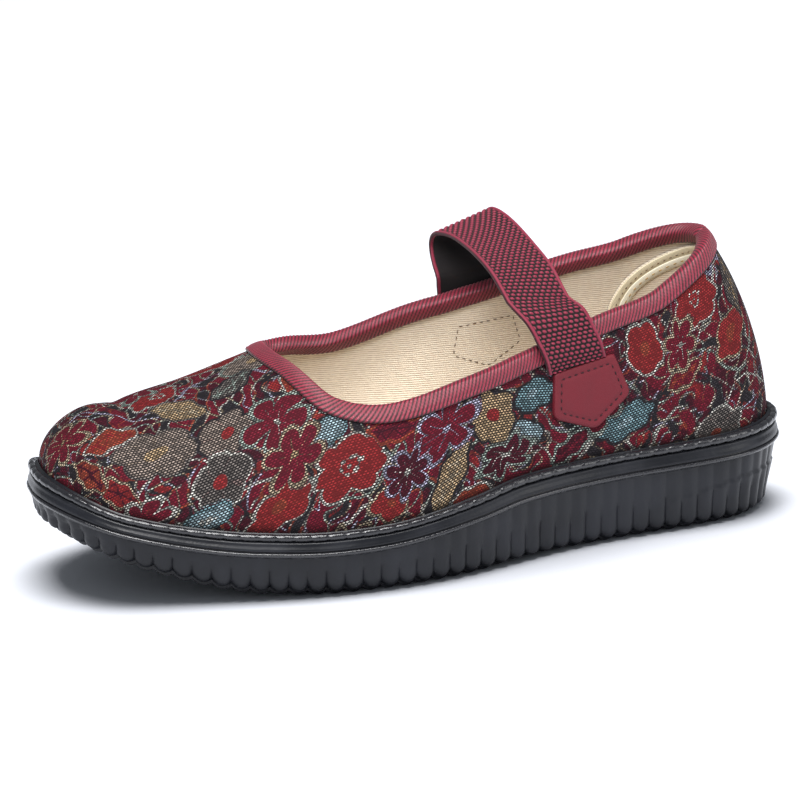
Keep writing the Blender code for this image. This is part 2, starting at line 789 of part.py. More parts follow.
def lining_solid(name, rows, lift, thickness, finish):
    """Sheet on the inside of the upper, through rows of places."""
    under = []
    over = []
    for turn, climb in rows:
        points = last_point(turn, climb)
        normal = normals_at(turn, climb)
        under.append(points - normal * (lift + thickness))
        over.append(points - normal * lift)
    return sheet_solid(name, np.array(under), np.array(over), finish)


def heel_grip(finish):
    """Padded piece that lines the back of the heel, highest in its middle."""
    rows = grip_edge()
    turn, climb = rows[-1]
    for share in (0.33, 0.67, 1):
        rows.append((turn, climb + (GRIP_FOOT - climb) * share))
    return lining_solid("heel_grip", rows, WALL + GAP, GRIP, finish)


def grip_tape(finish):
    """Tape sewn along the upper edge of the heel grip."""
    return lining_solid("grip_tape", grip_edge(), WALL + 2 * GAP + GRIP, GRIP_TAPE, finish)


def clear_scene():
    for old in list(bpy.data.objects):
        bpy.data.objects.remove(old, do_unlink=True)


def main():
    clear_scene()
    rubber = material("black rubber", (0.035, 0.036, 0.042), 0.5)
    cloth = material("jacquard cloth", (0.16, 0.03, 0.035), 0.85)
    lining = material("cotton lining", (0.72, 0.58, 0.42), 0.9)
    tape = material("burgundy tape", (0.30, 0.02, 0.05), 0.55)
    elastic = material("burgundy elastic", (0.26, 0.02, 0.06), 0.7)
    leather = material("burgundy leather", (0.22, 0.02, 0.035), 0.6)
    webbing = material("cream tape", (0.80, 0.72, 0.52), 0.85)
    outsole(rubber)
    upper(cloth)
    insole(lining)
    collar_binding(tape)
    strap(elastic)
    tab("strap_tab_outer", True, leather)
    tab("strap_tab_inner", False, leather)
    heel_grip(lining)
    grip_tape(webbing)


main()
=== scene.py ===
import json
import math

import bmesh
import bpy
import numpy as np
from mathutils import Matrix, Vector

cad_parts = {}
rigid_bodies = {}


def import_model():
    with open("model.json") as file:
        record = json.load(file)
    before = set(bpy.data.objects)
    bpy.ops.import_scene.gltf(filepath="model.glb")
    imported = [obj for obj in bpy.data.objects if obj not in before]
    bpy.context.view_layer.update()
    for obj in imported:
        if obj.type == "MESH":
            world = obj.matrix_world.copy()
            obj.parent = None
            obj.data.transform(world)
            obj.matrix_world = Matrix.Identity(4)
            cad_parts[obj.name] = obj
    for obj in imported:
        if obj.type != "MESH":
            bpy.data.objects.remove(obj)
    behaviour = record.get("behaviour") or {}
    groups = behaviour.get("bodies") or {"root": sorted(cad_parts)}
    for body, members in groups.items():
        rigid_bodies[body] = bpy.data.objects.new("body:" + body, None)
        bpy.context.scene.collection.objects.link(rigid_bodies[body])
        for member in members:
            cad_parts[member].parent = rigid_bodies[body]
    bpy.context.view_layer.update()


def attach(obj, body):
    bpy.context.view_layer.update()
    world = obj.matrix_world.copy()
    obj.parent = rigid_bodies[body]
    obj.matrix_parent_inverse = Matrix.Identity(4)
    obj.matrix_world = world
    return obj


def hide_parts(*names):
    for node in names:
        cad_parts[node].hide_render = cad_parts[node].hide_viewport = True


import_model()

# Main sizes
LENGTH = 0.247            # sole from heel to toe, at its lip
BALL_WIDTH = 0.092        # sole across the ball, at its lip
WALL_HEIGHT = 0.021       # rubber side wall at the heel, from the lobes up to the lip
RIM_HEIGHT = 0.0079       # from the lip up to the rim, at the heel
TOE_SPRING = 0.0195       # how far the toe's end lifts off the floor
HEEL_RISE = 0.076         # last above the rim, over the heel
INSTEP_RISE = 0.0665      # last above the rim, over the instep
TOE_RISE = 0.026          # last above the rim, over the toes
GAP = 0.0003              # room between two neighbouring pieces

# Sole
CUP_DEPTH = 0.010         # rim down to the floor of the cup that takes the upper
FEATHER_INSET = 0.0041    # lip line in to the line where the upper leaves the rim
TREAD = 0.0018            # tread bars below the lobes
TREAD_INSET = 0.0036      # lobes in to the bottom edge of the tread bars
ARCH_RECESS = 0.0010      # lift of the tread under the arch
RIB_PITCH = 0.00573       # from one rib of the side wall to the next
RIB_DEPTH = 0.0012        # groove between two ribs
LIP_HEIGHT = 0.0016       # height of the lip that caps the ribs
LIP_STEP = 0.0009         # how far the lip stands proud of the ribs' upper end
TAPER = 0.0009            # ribs' lower end inside the lip line
HEEL_TUCK = 0.0034        # more of the same at the back of the heel

# Upper, insole and trims
WALL = 0.0020             # upper: cloth, stiffener and lining together
INSOLE = 0.0030
BINDING = 0.0010          # thickness of the folded tape on the collar
BINDING_OUTSIDE = 0.0048  # how far the tape reaches down outside the collar
BINDING_INSIDE = 0.0042   # and inside
STRAP_WIDTH = 0.0215
STRAP = 0.0014            # thickness of the elastic
STRAP_RISE = 0.0195       # top of the strap above the collar
STRAP_FORWARD = 0.0062    # how far the arch leans to the toe
STRAP_LEAN = 0.0045       # its outer end leans forward by this much up to the collar
STRAP_LEAN_INNER = 0.0015
STRAP_YAW = 8             # degrees that the strap's width is turned from the foot's axis
STRAP_TILT = 16           # degrees that its back edge is raised at its top
STRAP_TUCK = 0.0105       # strap below the collar's edge, down to the tab
TAB = 0.0012              # thickness of the tab
TAB_TOP = 0.0225          # width of the tab where it takes the strap
TAB_SHOULDER = 0.0290     # its width lower down
TAB_SIDE = 0.0138         # from its top down to the shoulders
TAB_POINT = 0.0077        # from there down to its point
TAB_LEAN = 8              # degrees that the tab's point is turned to the heel
TAB_LEAN_INNER = 6
GRIP = 0.0014             # heel grip, a padded piece glued inside the back
GRIP_REACH = 0.067        # how far it runs forward from the back of the heel
GRIP_TAPE_WIDTH = 0.0062
THROAT = 0.692            # throat of the collar, as a share of the length
STRAP_OUTER = 0.319       # middle of the strap on the outer side, as a share of the length
STRAP_INNER = 0.379       # and on the inner side

# OUTLINE, SOLE, LAST and COLLAR repeat the solids' tables. Most of their numbers are rounded
# results of a least-squares fit to marks read in the photo, and weren't chosen by hand.

# Lip line seen from above: share of the length from the heel, share of the ball width from
# the middle of the box. The outer side comes first, then the toe and the inner side.
OUTLINE = (
    # along, across
    (0.000, -0.023),
    (0.038, 0.160),
    (0.102, 0.252),
    (0.224, 0.288),
    (0.363, 0.353),
    (0.503, 0.467),
    (0.628, 0.499),
    (0.729, 0.466),
    (0.840, 0.390),
    (0.945, 0.275),
    (0.996, 0.070),
    (1.000, -0.061),
    (0.986, -0.233),
    (0.922, -0.377),
    (0.831, -0.475),
    (0.729, -0.500),
    (0.606, -0.458),
    (0.467, -0.343),
    (0.334, -0.345),
    (0.202, -0.370),
    (0.089, -0.341),
    (0.024, -0.233),
)

# Sole along the foot: lift of the lobes (share of TOE_SPRING), side wall (share of
# WALL_HEIGHT), rim (share of RIM_HEIGHT), arch (share of ARCH_RECESS), tuck (share of
# HEEL_TUCK)
SOLE = (
    # along, lift, wall, rim, arch, tuck
    (0.000, 0.000, 1.000, 1.000, 0.000, 1.000),
    (0.060, 0.000, 0.985, 0.960, 0.000, 0.450),
    (0.200, 0.000, 0.943, 0.885, 0.000, 0.000),
    (0.290, 0.000, 0.928, 0.870, 0.000, 0.000),
    (0.405, 0.000, 0.895, 0.860, 1.000, 0.000),
    (0.480, 0.000, 0.770, 0.800, 0.000, 0.000),
    (0.607, 0.000, 0.598, 0.735, 0.000, 0.000),
    (0.670, 0.006, 0.575, 0.735, 0.000, 0.000),
    (0.759, 0.080, 0.557, 0.740, 0.000, 0.000),
    (0.911, 0.590, 0.414, 0.700, 0.000, 0.100),
    (1.000, 1.000, 0.376, 0.920, 0.000, 0.200),
)

# Last along the foot: its rise above the rim as shares of the three rises, the fullness of
# its section (2 is an ellipse, more is squarer) and the place of its ridge (share of
# BALL_WIDTH)
LAST = (
    # along, of heel rise, of instep rise, of toe rise, fullness, ridge
    (0.000, 1.07, 0.00, 0.00, 1.60, -0.033),
    (0.199, 1.00, 0.00, 0.00, 1.60, -0.033),
    (0.304, 0.30, 0.68, 0.00, 2.10, -0.012),
    (0.455, 0.00, 1.00, 0.00, 2.22, -0.012),
    (0.587, 0.00, 0.70, 0.25, 2.21, -0.045),
    (0.688, 0.00, 0.50, 0.46, 2.18, -0.078),
    (0.789, 0.00, 0.25, 0.73, 2.21, -0.078),
    (0.863, 0.00, 0.04, 0.985, 2.25, -0.081),
    (0.886, 0.00, 0.00, 0.990, 2.27, -0.082),
    (1.000, 0.00, 0.00, 0.58, 2.27, -0.082),
)
HEEL_POLE = 0.199         # the last is rounded behind this share of the length
TOE_POLE = 0.886          # and before this one

# Collar: climb of its edge from the rim (0) to the ridge (1), against the square root of
# the distance behind the throat
COLLAR = (
    # behind the throat, outer side, inner side
    (0.00, 1.000, 1.000),
    (0.12, 0.800, 0.785),
    (0.25, 0.520, 0.690),
    (0.40, 0.400, 0.545),
    (0.60, 0.323, 0.465),
    (0.80, 0.440, 0.570),
    (1.00, 0.605, 0.605),
)

# Strap from its tab (0) up to the collar's edge (1), and where it climbs onto the tape
STRAP_FOOT = (
    # up, on the tape
    (0.00, 0.0),
    (0.12, 0.1),
    (0.36, 1.0),
    (0.70, 1.0),
    (1.00, 1.0),
    (1.35, 1.1),
)

# Strap from its outer end at the collar (0) to its inner one (1): height (share of
# STRAP_RISE), forward (share of STRAP_FORWARD), tilt (share of STRAP_TILT)
STRAP_ROUTE = (
    # across, height, forward, tilt
    (0.09, 0.42, 1.04, -0.10),
    (0.25, 0.70, 1.09, 0.00),
    (0.44, 0.88, 0.99, 0.10),
    (0.66, 0.96, 0.75, 0.35),
    (0.87, 1.00, 0.58, 0.70),
    (1.02, 0.97, 0.55, 1.00),
    (1.11, 0.86, 0.50, 1.00),
    (1.15, 0.52, 0.35, 0.80),
)

# Heel grip, as climbs of the last
GRIP_FOOT = 0.04          # its lower edge
GRIP_ROUND = 0.20         # less than 1 fills the shoulders of its arch

# Counts that the shape depends on
LIP_SAMPLES = 1440        # fine walk round the lip line that the other lines are read from
STRAP_COLUMNS = 5         # places across the strap where its route is set


# Curves


def closed_spline(points, count):
    """Smooth closed curve through the points, as count points."""
    knots = np.asarray(points, float)
    n = len(knots)
    step = np.sqrt(np.linalg.norm(np.roll(knots, -1, 0) - knots, axis=1))
    matrix = np.zeros((n, n))
    right = np.zeros((n, 2))
    for i in range(n):
        before = step[i - 1]
        after = step[i]
        matrix[i, i - 1] += before
        matrix[i, i] += 2 * (before + after)
        matrix[i, (i + 1) % n] += after
        slope_after = (knots[(i + 1) % n] - knots[i]) / after
        slope_before = (knots[i] - knots[i - 1]) / before
        right[i] = 6 * (slope_after - slope_before)
    bend = np.linalg.solve(matrix, right)
    start = np.concatenate([[0], np.cumsum(step)])
    u = np.linspace(0, start[-1], 4 * count, endpoint=False)
    i = np.clip(np.searchsorted(start, u, side="right") - 1, 0, n - 1)
    j = (i + 1) % n
    h = step[i][:, None]
    a = (start[i + 1] - u)[:, None]
    b = (u - start[i])[:, None]
    fine = (bend[i] * a ** 3 + bend[j] * b ** 3) / (6 * h)
    fine += (knots[i] / h - bend[i] * h / 6) * a + (knots[j] / h - bend[j] * h / 6) * b
    return even_steps(fine, count)


def run_length(points):
    """Length of an open line from its start up to each of its points."""
    return np.concatenate([[0], np.cumsum(np.linalg.norm(np.diff(points, axis=0), axis=1))])


def unit(ways):
    return ways / np.linalg.norm(ways, axis=-1, keepdims=True)


def even_steps(curve, count):
    """Read a closed curve at count even steps of its length."""
    loop = np.vstack([curve, curve[:1]])
    length = run_length(loop)
    at = np.linspace(0, length[-1], count, endpoint=False)
    return np.stack([np.interp(at, length, loop[:, k]) for k in range(loop.shape[1])], 1)


def smooth(x, xs, ys):
    """Smooth curve through a table's rows that never overshoots them."""
    xs = np.asarray(xs, float)
    ys = np.asarray(ys, float)
    h = np.diff(xs)
    slope = np.diff(ys) / h
    tangent = np.zeros(len(xs))
    for k in range(1, len(xs) - 1):
        if slope[k - 1] * slope[k] > 0:
            w1 = 2 * h[k] + h[k - 1]
            w2 = h[k] + 2 * h[k - 1]
            tangent[k] = (w1 + w2) / (w1 / slope[k - 1] + w2 / slope[k])
    tangent[0] = slope[0]
    tangent[-1] = slope[-1]
    x = np.clip(x, xs[0], xs[-1])
    i = np.clip(np.searchsorted(xs, x, side="right") - 1, 0, len(xs) - 2)
    t = (x - xs[i]) / h[i]
    value = ys[i] * (1 + 2 * t) * (1 - t) ** 2 + ys[i + 1] * t * t * (3 - 2 * t)
    return value + h[i] * (tangent[i] * t * (1 - t) ** 2 - tangent[i + 1] * t * t * (1 - t))


def column(table, k, x):
    return smooth(x, [row[0] for row in table], [row[k] for row in table])


# Lines of the sole, as functions of a point's share of the length


def lobe_height(share):
    return TREAD + TOE_SPRING * column(SOLE, 1, share)


def lip_height(share):
    return lobe_height(share) + WALL_HEIGHT * column(SOLE, 2, share)


def rim_height(share):
    return lip_height(share) + RIM_HEIGHT * column(SOLE, 3, share)


def cup_floor(share):
    return rim_height(share) - CUP_DEPTH


def share_of(x):
    return np.clip(x / LENGTH + 0.5, 0, 1)


def lip_line():
    """Lip line as points and outward normals, from the heel round the outer side."""
    knots = [((along - 0.5) * LENGTH, across * BALL_WIDTH) for along, across in OUTLINE]
    line = closed_spline(knots, LIP_SAMPLES)
    run = unit(np.roll(line, -1, 0) - np.roll(line, 1, 0))
    return line, np.stack([-run[:, 1], run[:, 0]], 1)


LIP, LIP_NORMAL = lip_line()
LIP_LENGTH = float(np.linalg.norm(np.roll(LIP, -1, 0) - LIP, axis=1).sum())
FEATHER = LIP - LIP_NORMAL * FEATHER_INSET


def read_loop(values, turn):
    """Read rows that run round a loop at shares of the way round it."""
    at = np.asarray(turn, float) % 1.0 * len(values)
    i = np.floor(at).astype(int) % len(values)
    t = (at - np.floor(at))[:, None]
    return values[i] * (1 - t) + values[(i + 1) % len(values)] * t


# Shape of the last, over which the upper is drawn


def rise(share):
    of_heel = HEEL_RISE * column(LAST, 1, share)
    of_instep = INSTEP_RISE * column(LAST, 2, share)
    return of_heel + of_instep + TOE_RISE * column(LAST, 3, share)


def last_point(turn, climb):
    """Point of the upper's outside, at a share round the feather line and a climb from the
    rim (0) to the ridge (1)."""
    turn = np.asarray(turn, float)
    climb = np.clip(climb, 0, 1) * math.pi / 2
    foot = read_loop(FEATHER, turn)
    share = share_of(foot[:, 0])
    pole = np.clip(share, HEEL_POLE, TOE_POLE)
    ridge = np.stack([(pole - 0.5) * LENGTH, column(LAST, 5, pole) * BALL_WIDTH], 1)
    fullness = column(LAST, 4, pole)
    inward = np.cos(climb) ** (2 / fullness)
    upward = np.sin(climb) ** (2 / fullness)
    plan = ridge + (foot - ridge) * inward[:, None]
    base = rim_height(share) * inward + rim_height(pole) * (1 - inward)
    height = base + rise(share_of(plan[:, 0])) * upward
    return np.column_stack([plan, height])


def collar_climb(turn):
    """Climb of the collar's edge: 1 before the throat, where the upper is closed."""
    foot = read_loop(FEATHER, turn)
    share = share_of(foot[:, 0])
    behind = np.sqrt(np.clip((THROAT - share) / THROAT, 0, 1))
    outer = column(COLLAR, 1, behind)
    inner = column(COLLAR, 2, behind)
    return np.where(np.asarray(turn) % 1.0 < toe_turn(), outer, inner)


def toe_turn():
    return float(np.argmax(FEATHER[:, 0])) / LIP_SAMPLES


def turn_at(share, outer):
    """Share round the feather line of the foot at a share of the length, on one side."""
    x = (np.asarray(share, float) - 0.5) * LENGTH
    top = int(np.argmax(FEATHER[:, 0]))
    low = int(np.argmin(FEATHER[:, 0]))
    if low > LIP_SAMPLES // 2:
        low -= LIP_SAMPLES
    if outer:
        k = np.arange(low, top + 1)
    else:
        k = np.arange(low + LIP_SAMPLES, top - 1, -1)
    return np.interp(x, FEATHER[k % LIP_SAMPLES, 0], k / LIP_SAMPLES)


def upper_turns(behind, before, fan):
    """Where the upper's meridians stand, round the feather line from the middle of the heel.
    Those of the two sides share their places along the foot, so they meet on the ridge."""
    reach = math.sqrt((THROAT - HEEL_POLE) / THROAT)
    back = THROAT * (1 - np.linspace(reach, 0, behind) ** 2)
    front = np.linspace(THROAT, TOE_POLE, before + 1)[1:]
    stations = np.concatenate([back, front])
    outer = turn_at(stations, True)
    inner = turn_at(stations, False)[::-1]
    heel = np.linspace(inner[-1] - 1, outer[0], fan + 2)[1:-1]
    toe = np.linspace(outer[-1], inner[0], fan + 2)[1:-1]
    half = fan // 2
    return np.concatenate([heel[half:], outer, toe, inner, heel[:half] + 1])


# Places on the upper, reached from a point of its surface


def slopes(turn, climb):
    """Change of the surface along the foot and up the last, at each place."""
    step = 0.002
    low = np.maximum(climb - step, 0)
    high = np.minimum(climb + step, 1)
    along = (last_point(turn + step, climb) - last_point(turn - step, climb)) / (2 * step)
    up = (last_point(turn, high) - last_point(turn, low)) / (high - low)[:, None]
    return along, up


def normals_at(turn, climb):
    along, up = slopes(turn, np.minimum(climb, 0.985))
    return unit(np.cross(up, along))


def nearest(target, turn, climb):
    """Walk on the surface from a place to the one nearest to the target."""
    for _ in range(4):
        miss = target - last_point(turn, climb)
        along, up = slopes(turn, climb)
        aa = (along * along).sum(1)
        ab = (along * up).sum(1)
        bb = (up * up).sum(1)
        ma = (miss * along).sum(1)
        mb = (miss * up).sum(1)
        det = aa * bb - ab * ab
        turn = turn + (bb * ma - ab * mb) / det
        climb = np.clip(climb + (aa * mb - ab * ma) / det, 0, 1)
    return turn, climb


def lay(turn, climb, back, down, lift):
    """Points on the upper round one place: back towards the heel and down the wall along
    the surface, then lifted off it."""
    turn = np.full(np.shape(back), float(turn))
    climb = np.full(np.shape(back), float(climb))
    normal = normals_at(turn, climb)
    level = unit(np.cross(normal, (0, 0, 1)))
    level *= -np.sign(level[:, :1])
    fall = np.cross(normal, level)
    fall *= -np.sign(fall[:, 2:])
    target = last_point(turn, climb) + level * back[:, None] + fall * down[:, None]
    turn, climb = nearest(target, turn, climb)
    return last_point(turn, climb) + normals_at(turn, climb) * np.reshape(lift, (-1, 1))


def open_spline(points, count):
    """Smooth curve through rows of points, read at even steps of its length."""
    knots = points.reshape(len(points), -1)
    step = np.sqrt(np.linalg.norm(np.diff(knots, axis=0), axis=1))
    n = len(knots)
    matrix = np.zeros((n, n))
    right = np.zeros(knots.shape)
    matrix[0, 0] = 1
    matrix[-1, -1] = 1
    for i in range(1, n - 1):
        matrix[i, i - 1] = step[i - 1]
        matrix[i, i] = 2 * (step[i - 1] + step[i])
        matrix[i, i + 1] = step[i]
        slope_after = (knots[i + 1] - knots[i]) / step[i]
        slope_before = (knots[i] - knots[i - 1]) / step[i - 1]
        right[i] = 6 * (slope_after - slope_before)
    bend = np.linalg.solve(matrix, right)
    start = np.concatenate([[0], np.cumsum(step)])
    u = np.linspace(0, start[-1], 12 * n)
    i = np.clip(np.searchsorted(start, u, side="right") - 1, 0, n - 2)
    h = step[i][:, None]
    a = (start[i + 1] - u)[:, None]
    b = (u - start[i])[:, None]
    fine = (bend[i] * a ** 3 + bend[i + 1] * b ** 3) / (6 * h)
    fine += (knots[i] / h - bend[i] * h / 6) * a + (knots[i + 1] / h - bend[i + 1] * h / 6) * b
    length = run_length(fine)
    at = np.linspace(0, length[-1], count)
    even = np.stack([np.interp(at, length, fine[:, k]) for k in range(fine.shape[1])], 1)
    return even.reshape(count, *points.shape[1:])


def strap_end(outer):
    """Place where the strap leaves its tab, under the collar's edge on one side."""
    share = STRAP_OUTER if outer else STRAP_INNER
    turn = turn_at([share], outer)
    climb = collar_climb(turn)
    point = last_point(turn, climb)
    fall = np.array([[0, 0, -STRAP_TUCK]])
    turn, climb = nearest(point + fall, turn, climb)
    return float(turn[0]), float(climb[0])


def strap_foot(outer):
    """Rows of the strap from its tab up over the binding, from its front edge to its back."""
    turn, climb = strap_end(outer)
    lean = math.radians(TAB_LEAN if outer else TAB_LEAN_INNER)
    forward = STRAP_LEAN if outer else STRAP_LEAN_INNER
    side = np.linspace(-STRAP_WIDTH / 2, STRAP_WIDTH / 2, STRAP_COLUMNS)
    on_cloth = GAP + STRAP / 2
    on_tape = 2 * GAP + BINDING + STRAP / 2
    rows = []
    for up, tape in STRAP_FOOT:
        back = side * math.cos(lean) - forward * up
        down = -side * math.sin(lean) - STRAP_TUCK * up
        lift = on_cloth + (on_tape - on_cloth) * tape
        rows.append(lay(turn, climb, back, down, np.full(STRAP_COLUMNS, lift)))
    return rows


def strap_rows():
    """Rows of the strap's middle layer, from the outer tab to the inner one."""
    first = strap_foot(True)
    last = strap_foot(False)
    start = first[-2].mean(0)
    end = last[-2].mean(0)
    rows = list(first)
    for across, height, forward, tilt in STRAP_ROUTE:
        middle = start + (end - start) * across
        middle[0] += STRAP_FORWARD * forward
        middle[2] += STRAP_RISE * height
        turned = math.radians(STRAP_YAW)
        raised = math.radians(STRAP_TILT * tilt)
        wide = np.array([-math.cos(turned), -math.sin(turned), 0]) * math.cos(raised)
        wide[2] = math.sin(raised)
        side = np.linspace(-STRAP_WIDTH / 2, STRAP_WIDTH / 2, STRAP_COLUMNS)
        rows.append(middle + side[:, None] * wide)
    return np.array(rows + last[::-1])


def grip_arch(count):
    """Upper edge of the heel grip: places from its inner end over the heel to its outer."""
    girth = float(np.linalg.norm(np.roll(FEATHER, -1, 0) - FEATHER, axis=1).sum())
    swing = np.linspace(-1, 1, count) * math.pi / 2
    turn = np.sin(swing) * GRIP_REACH / girth
    edge = collar_climb(turn)
    points = last_point(turn, edge)
    fall = np.array([[0, 0, -BINDING_INSIDE - 2 * GAP - BINDING]])
    _, top = nearest(points + fall, turn, edge)
    climb = GRIP_FOOT + (top - GRIP_FOOT) * np.cos(swing) ** GRIP_ROUND
    return turn, climb


# Grids of points


def run_of(rows):
    """Unit way along each row of a grid that is closed along its rows."""
    return unit(np.roll(rows, -1, 0) - np.roll(rows, 1, 0))


def grid_faces(rows, columns, wrap_rows, wrap_columns):
    """Corner numbers of a grid's quads, and the same with the wrapped ends counted on."""
    r = np.arange(rows if wrap_rows else rows - 1)
    c = np.arange(columns if wrap_columns else columns - 1)
    r, c = np.meshgrid(r, c, indexing="ij")
    corners = ((r, c), (r, c + 1), (r + 1, c + 1), (r + 1, c))
    plain = np.stack([a % rows * columns + b % columns for a, b in corners], -1)
    wide = columns + 1
    counted = np.stack([a * wide + b for a, b in corners], -1)
    return plain.reshape(-1, 4), counted.reshape(-1, 4)


def smooth_faces(mesh):
    mesh.polygons.foreach_set("use_smooth", np.ones(len(mesh.polygons), bool))


def place(name, data):
    """Put an object with the mesh, light or camera data into the scene."""
    made = bpy.data.objects.new(name, data)
    bpy.context.scene.collection.objects.link(made)
    return made


def make_grid(name, points, finish, uv=None, colours=None, wrap=(False, False), weld=False,
              flip=False):
    """Smooth mesh from a grid of points. uv has one more row and column than the points where
    the grid is closed, and colours is {name: grid of four numbers}."""
    rows, columns = points.shape[:2]
    faces, counted = grid_faces(rows, columns, *wrap)
    if flip:
        faces = faces[:, ::-1]
        counted = counted[:, ::-1]
    mesh = bpy.data.meshes.new(name)
    mesh.vertices.add(rows * columns)
    mesh.vertices.foreach_set("co", points.reshape(-1).astype(np.float32))
    mesh.loops.add(faces.size)
    mesh.loops.foreach_set("vertex_index", faces.reshape(-1).astype(np.int32))
    mesh.polygons.add(len(faces))
    mesh.polygons.foreach_set("loop_start", np.arange(0, faces.size, 4, dtype=np.int32))
    mesh.polygons.foreach_set("loop_total", np.full(len(faces), 4, np.int32))
    mesh.update(calc_edges=True)
    if uv is not None:
        full = np.zeros((rows + 1, columns + 1, 2))
        full[:uv.shape[0], :uv.shape[1]] = uv
        layer = mesh.uv_layers.new(name="cloth")
        layer.data.foreach_set("uv", full.reshape(-1, 2)[counted.reshape(-1)].reshape(-1))
    for key, values in (colours or {}).items():
        layer = mesh.color_attributes.new(key, "FLOAT_COLOR", "POINT")
        layer.data.foreach_set("color", values.reshape(-1).astype(np.float32))
    if weld:
        shape = bmesh.new()
        shape.from_mesh(mesh)
        bmesh.ops.remove_doubles(shape, verts=shape.verts, dist=2e-6)
        shape.to_mesh(mesh)
        shape.free()
    mesh.materials.append(finish)
    smooth_faces(mesh)
    return place(name, mesh)


def stitches(name, centres, ways, normals, length, thickness, finish, sink=0.3):
    """Short rounded threads, one at each centre, that lie along their ways."""
    rings = 7
    sides = 8
    ways = unit(ways)
    across = unit(np.cross(normals, ways))
    out = np.cross(ways, across)
    turn = np.linspace(0, math.tau, sides, endpoint=False)
    t = np.linspace(-1, 1, rings)
    thick = np.sqrt(np.maximum(1 - np.abs(t) ** 2.6, 0.0004))
    bow = (1 - t * t) * 0.8 - sink
    verts = []
    faces = []
    ring_faces, _ = grid_faces(rings, sides, False, True)
    base = 0
    for k in range(len(centres)):
        line = centres[k] + ways[k] * (t[:, None] * length / 2)
        line = line + out[k] * (bow[:, None] * thickness / 2)
        around = np.cos(turn)[:, None] * across[k] + np.sin(turn)[:, None] * out[k]
        skin = line[:, None] + around[None] * (thick[:, None, None] * thickness / 2)
        verts.append(skin.reshape(-1, 3))
        faces.append(ring_faces + base)
        base += rings * sides
    mesh = bpy.data.meshes.new(name)
    mesh.from_pydata(np.vstack(verts).tolist(), [], np.vstack(faces).tolist())
    mesh.materials.append(finish)
    smooth_faces(mesh)
    return place(name, mesh)


def spaced(points, pitch):
    """Read an open line at even steps: points, their ways, and the shares along it."""
    length = run_length(points)
    count = max(2, int(round(length[-1] / pitch)))
    at = (np.arange(count) + 0.5) / count * length[-1]
    where = np.stack([np.interp(at, length, points[:, k]) for k in range(3)], 1)
    ahead = np.stack([np.interp(at + 1e-4, length, points[:, k]) for k in range(3)], 1)
    behind = np.stack([np.interp(at - 1e-4, length, points[:, k]) for k in range(3)], 1)
    return where, ahead - behind, at / length[-1]


# Materials


class Maker:
    """A new material, with short words for the shader nodes that the finishes share."""

    def __init__(self, name):
        self.made = bpy.data.materials.new(name)
        self.made.use_nodes = True
        self.tree = self.made.node_tree
        self.shader = self.tree.nodes["Principled BSDF"]

    def add(self, kind, **settings):
        node = self.tree.nodes.new(kind)
        for key, value in settings.items():
            setattr(node, key, value)
        return node

    def link(self, source, target):
        if isinstance(source, (int, float, tuple)):
            target.default_value = source
        else:
            self.tree.links.new(source, target)

    def finish(self, **sockets):
        """Set or link sockets of the shader, named with low lines for their spaces."""
        for key, value in sockets.items():
            self.link(value, self.shader.inputs[key.replace("_", " ")])

    def math(self, operation, a, b=0.0, c=0.0):
        node = self.add("ShaderNodeMath", operation=operation)
        for k, value in enumerate((a, b, c)):
            self.link(value, node.inputs[k])
        return node.outputs[0]

    def plus(self, a, b):
        return self.math("ADD", a, b)

    def times(self, a, b):
        return self.math("MULTIPLY", a, b)

    def over(self, a, b):
        return self.math("DIVIDE", a, b)

    def wave(self, value, pitch):
        return self.math("SINE", self.times(value, math.tau / pitch))

    def mix(self, share, a, b):
        node = self.add("ShaderNodeMix", data_type="RGBA")
        self.link(share, node.inputs["Factor"])
        self.link(a, node.inputs["A"])
        self.link(b, node.inputs["B"])
        return node.outputs["Result"]

    def ramp(self, value, low, high, start=0.0, end=1.0):
        node = self.add("ShaderNodeMapRange", interpolation_type="SMOOTHSTEP")
        self.link(value, node.inputs["Value"])
        node.inputs["From Min"].default_value = low
        node.inputs["From Max"].default_value = high
        node.inputs["To Min"].default_value = start
        node.inputs["To Max"].default_value = end
        return node.outputs["Result"]

    def noise(self, scale, detail=2.0, where=None, rough=0.5):
        node = self.add("ShaderNodeTexNoise")
        node.inputs["Scale"].default_value = scale
        node.inputs["Detail"].default_value = detail
        node.inputs["Roughness"].default_value = rough
        if where is None:
            where = self.spot()
        self.link(where, node.inputs["Vector"])
        return node.outputs["Fac"]

    def spot(self):
        """Place of the point on its object, in metres."""
        return self.add("ShaderNodeTexCoord").outputs["Object"]

    def marks(self, name, output="Color"):
        """What the mesh says at the point, under a name."""
        return self.add("ShaderNodeAttribute", attribute_name=name).outputs[output]

    def uv(self):
        """Both numbers of the cloth's own coordinates, in metres."""
        split = self.add("ShaderNodeSeparateXYZ")
        self.link(self.add("ShaderNodeUVMap", uv_map="cloth").outputs["UV"], split.inputs[0])
        return split.outputs[0], split.outputs[1]

    def bump(self, height, distance, strength=1.0, after=None):
        node = self.add("ShaderNodeBump")
        node.inputs["Distance"].default_value = distance
        node.inputs["Strength"].default_value = strength
        self.link(height, node.inputs["Height"])
        if after is not None:
            self.link(after, node.inputs["Normal"])
        return node.outputs["Normal"]


def rubber():
    m = Maker("black rubber")
    patch = m.noise(55, 3)
    fine = m.noise(1400, 2)
    colour = m.mix(m.ramp(patch, 0.35, 0.7), (0.0060, 0.0066, 0.0090, 1), (0.0125, 0.0135, 0.0180, 1))
    m.finish(Base_Color=colour)
    m.finish(Roughness=m.ramp(patch, 0.3, 0.75, 0.30, 0.44))
    m.finish(Specular_IOR_Level=0.34)
    broad = m.bump(m.noise(260, 3), 0.00022, 0.5)
    m.finish(Normal=m.bump(fine, 0.00006, 0.6, broad))
    return m.made


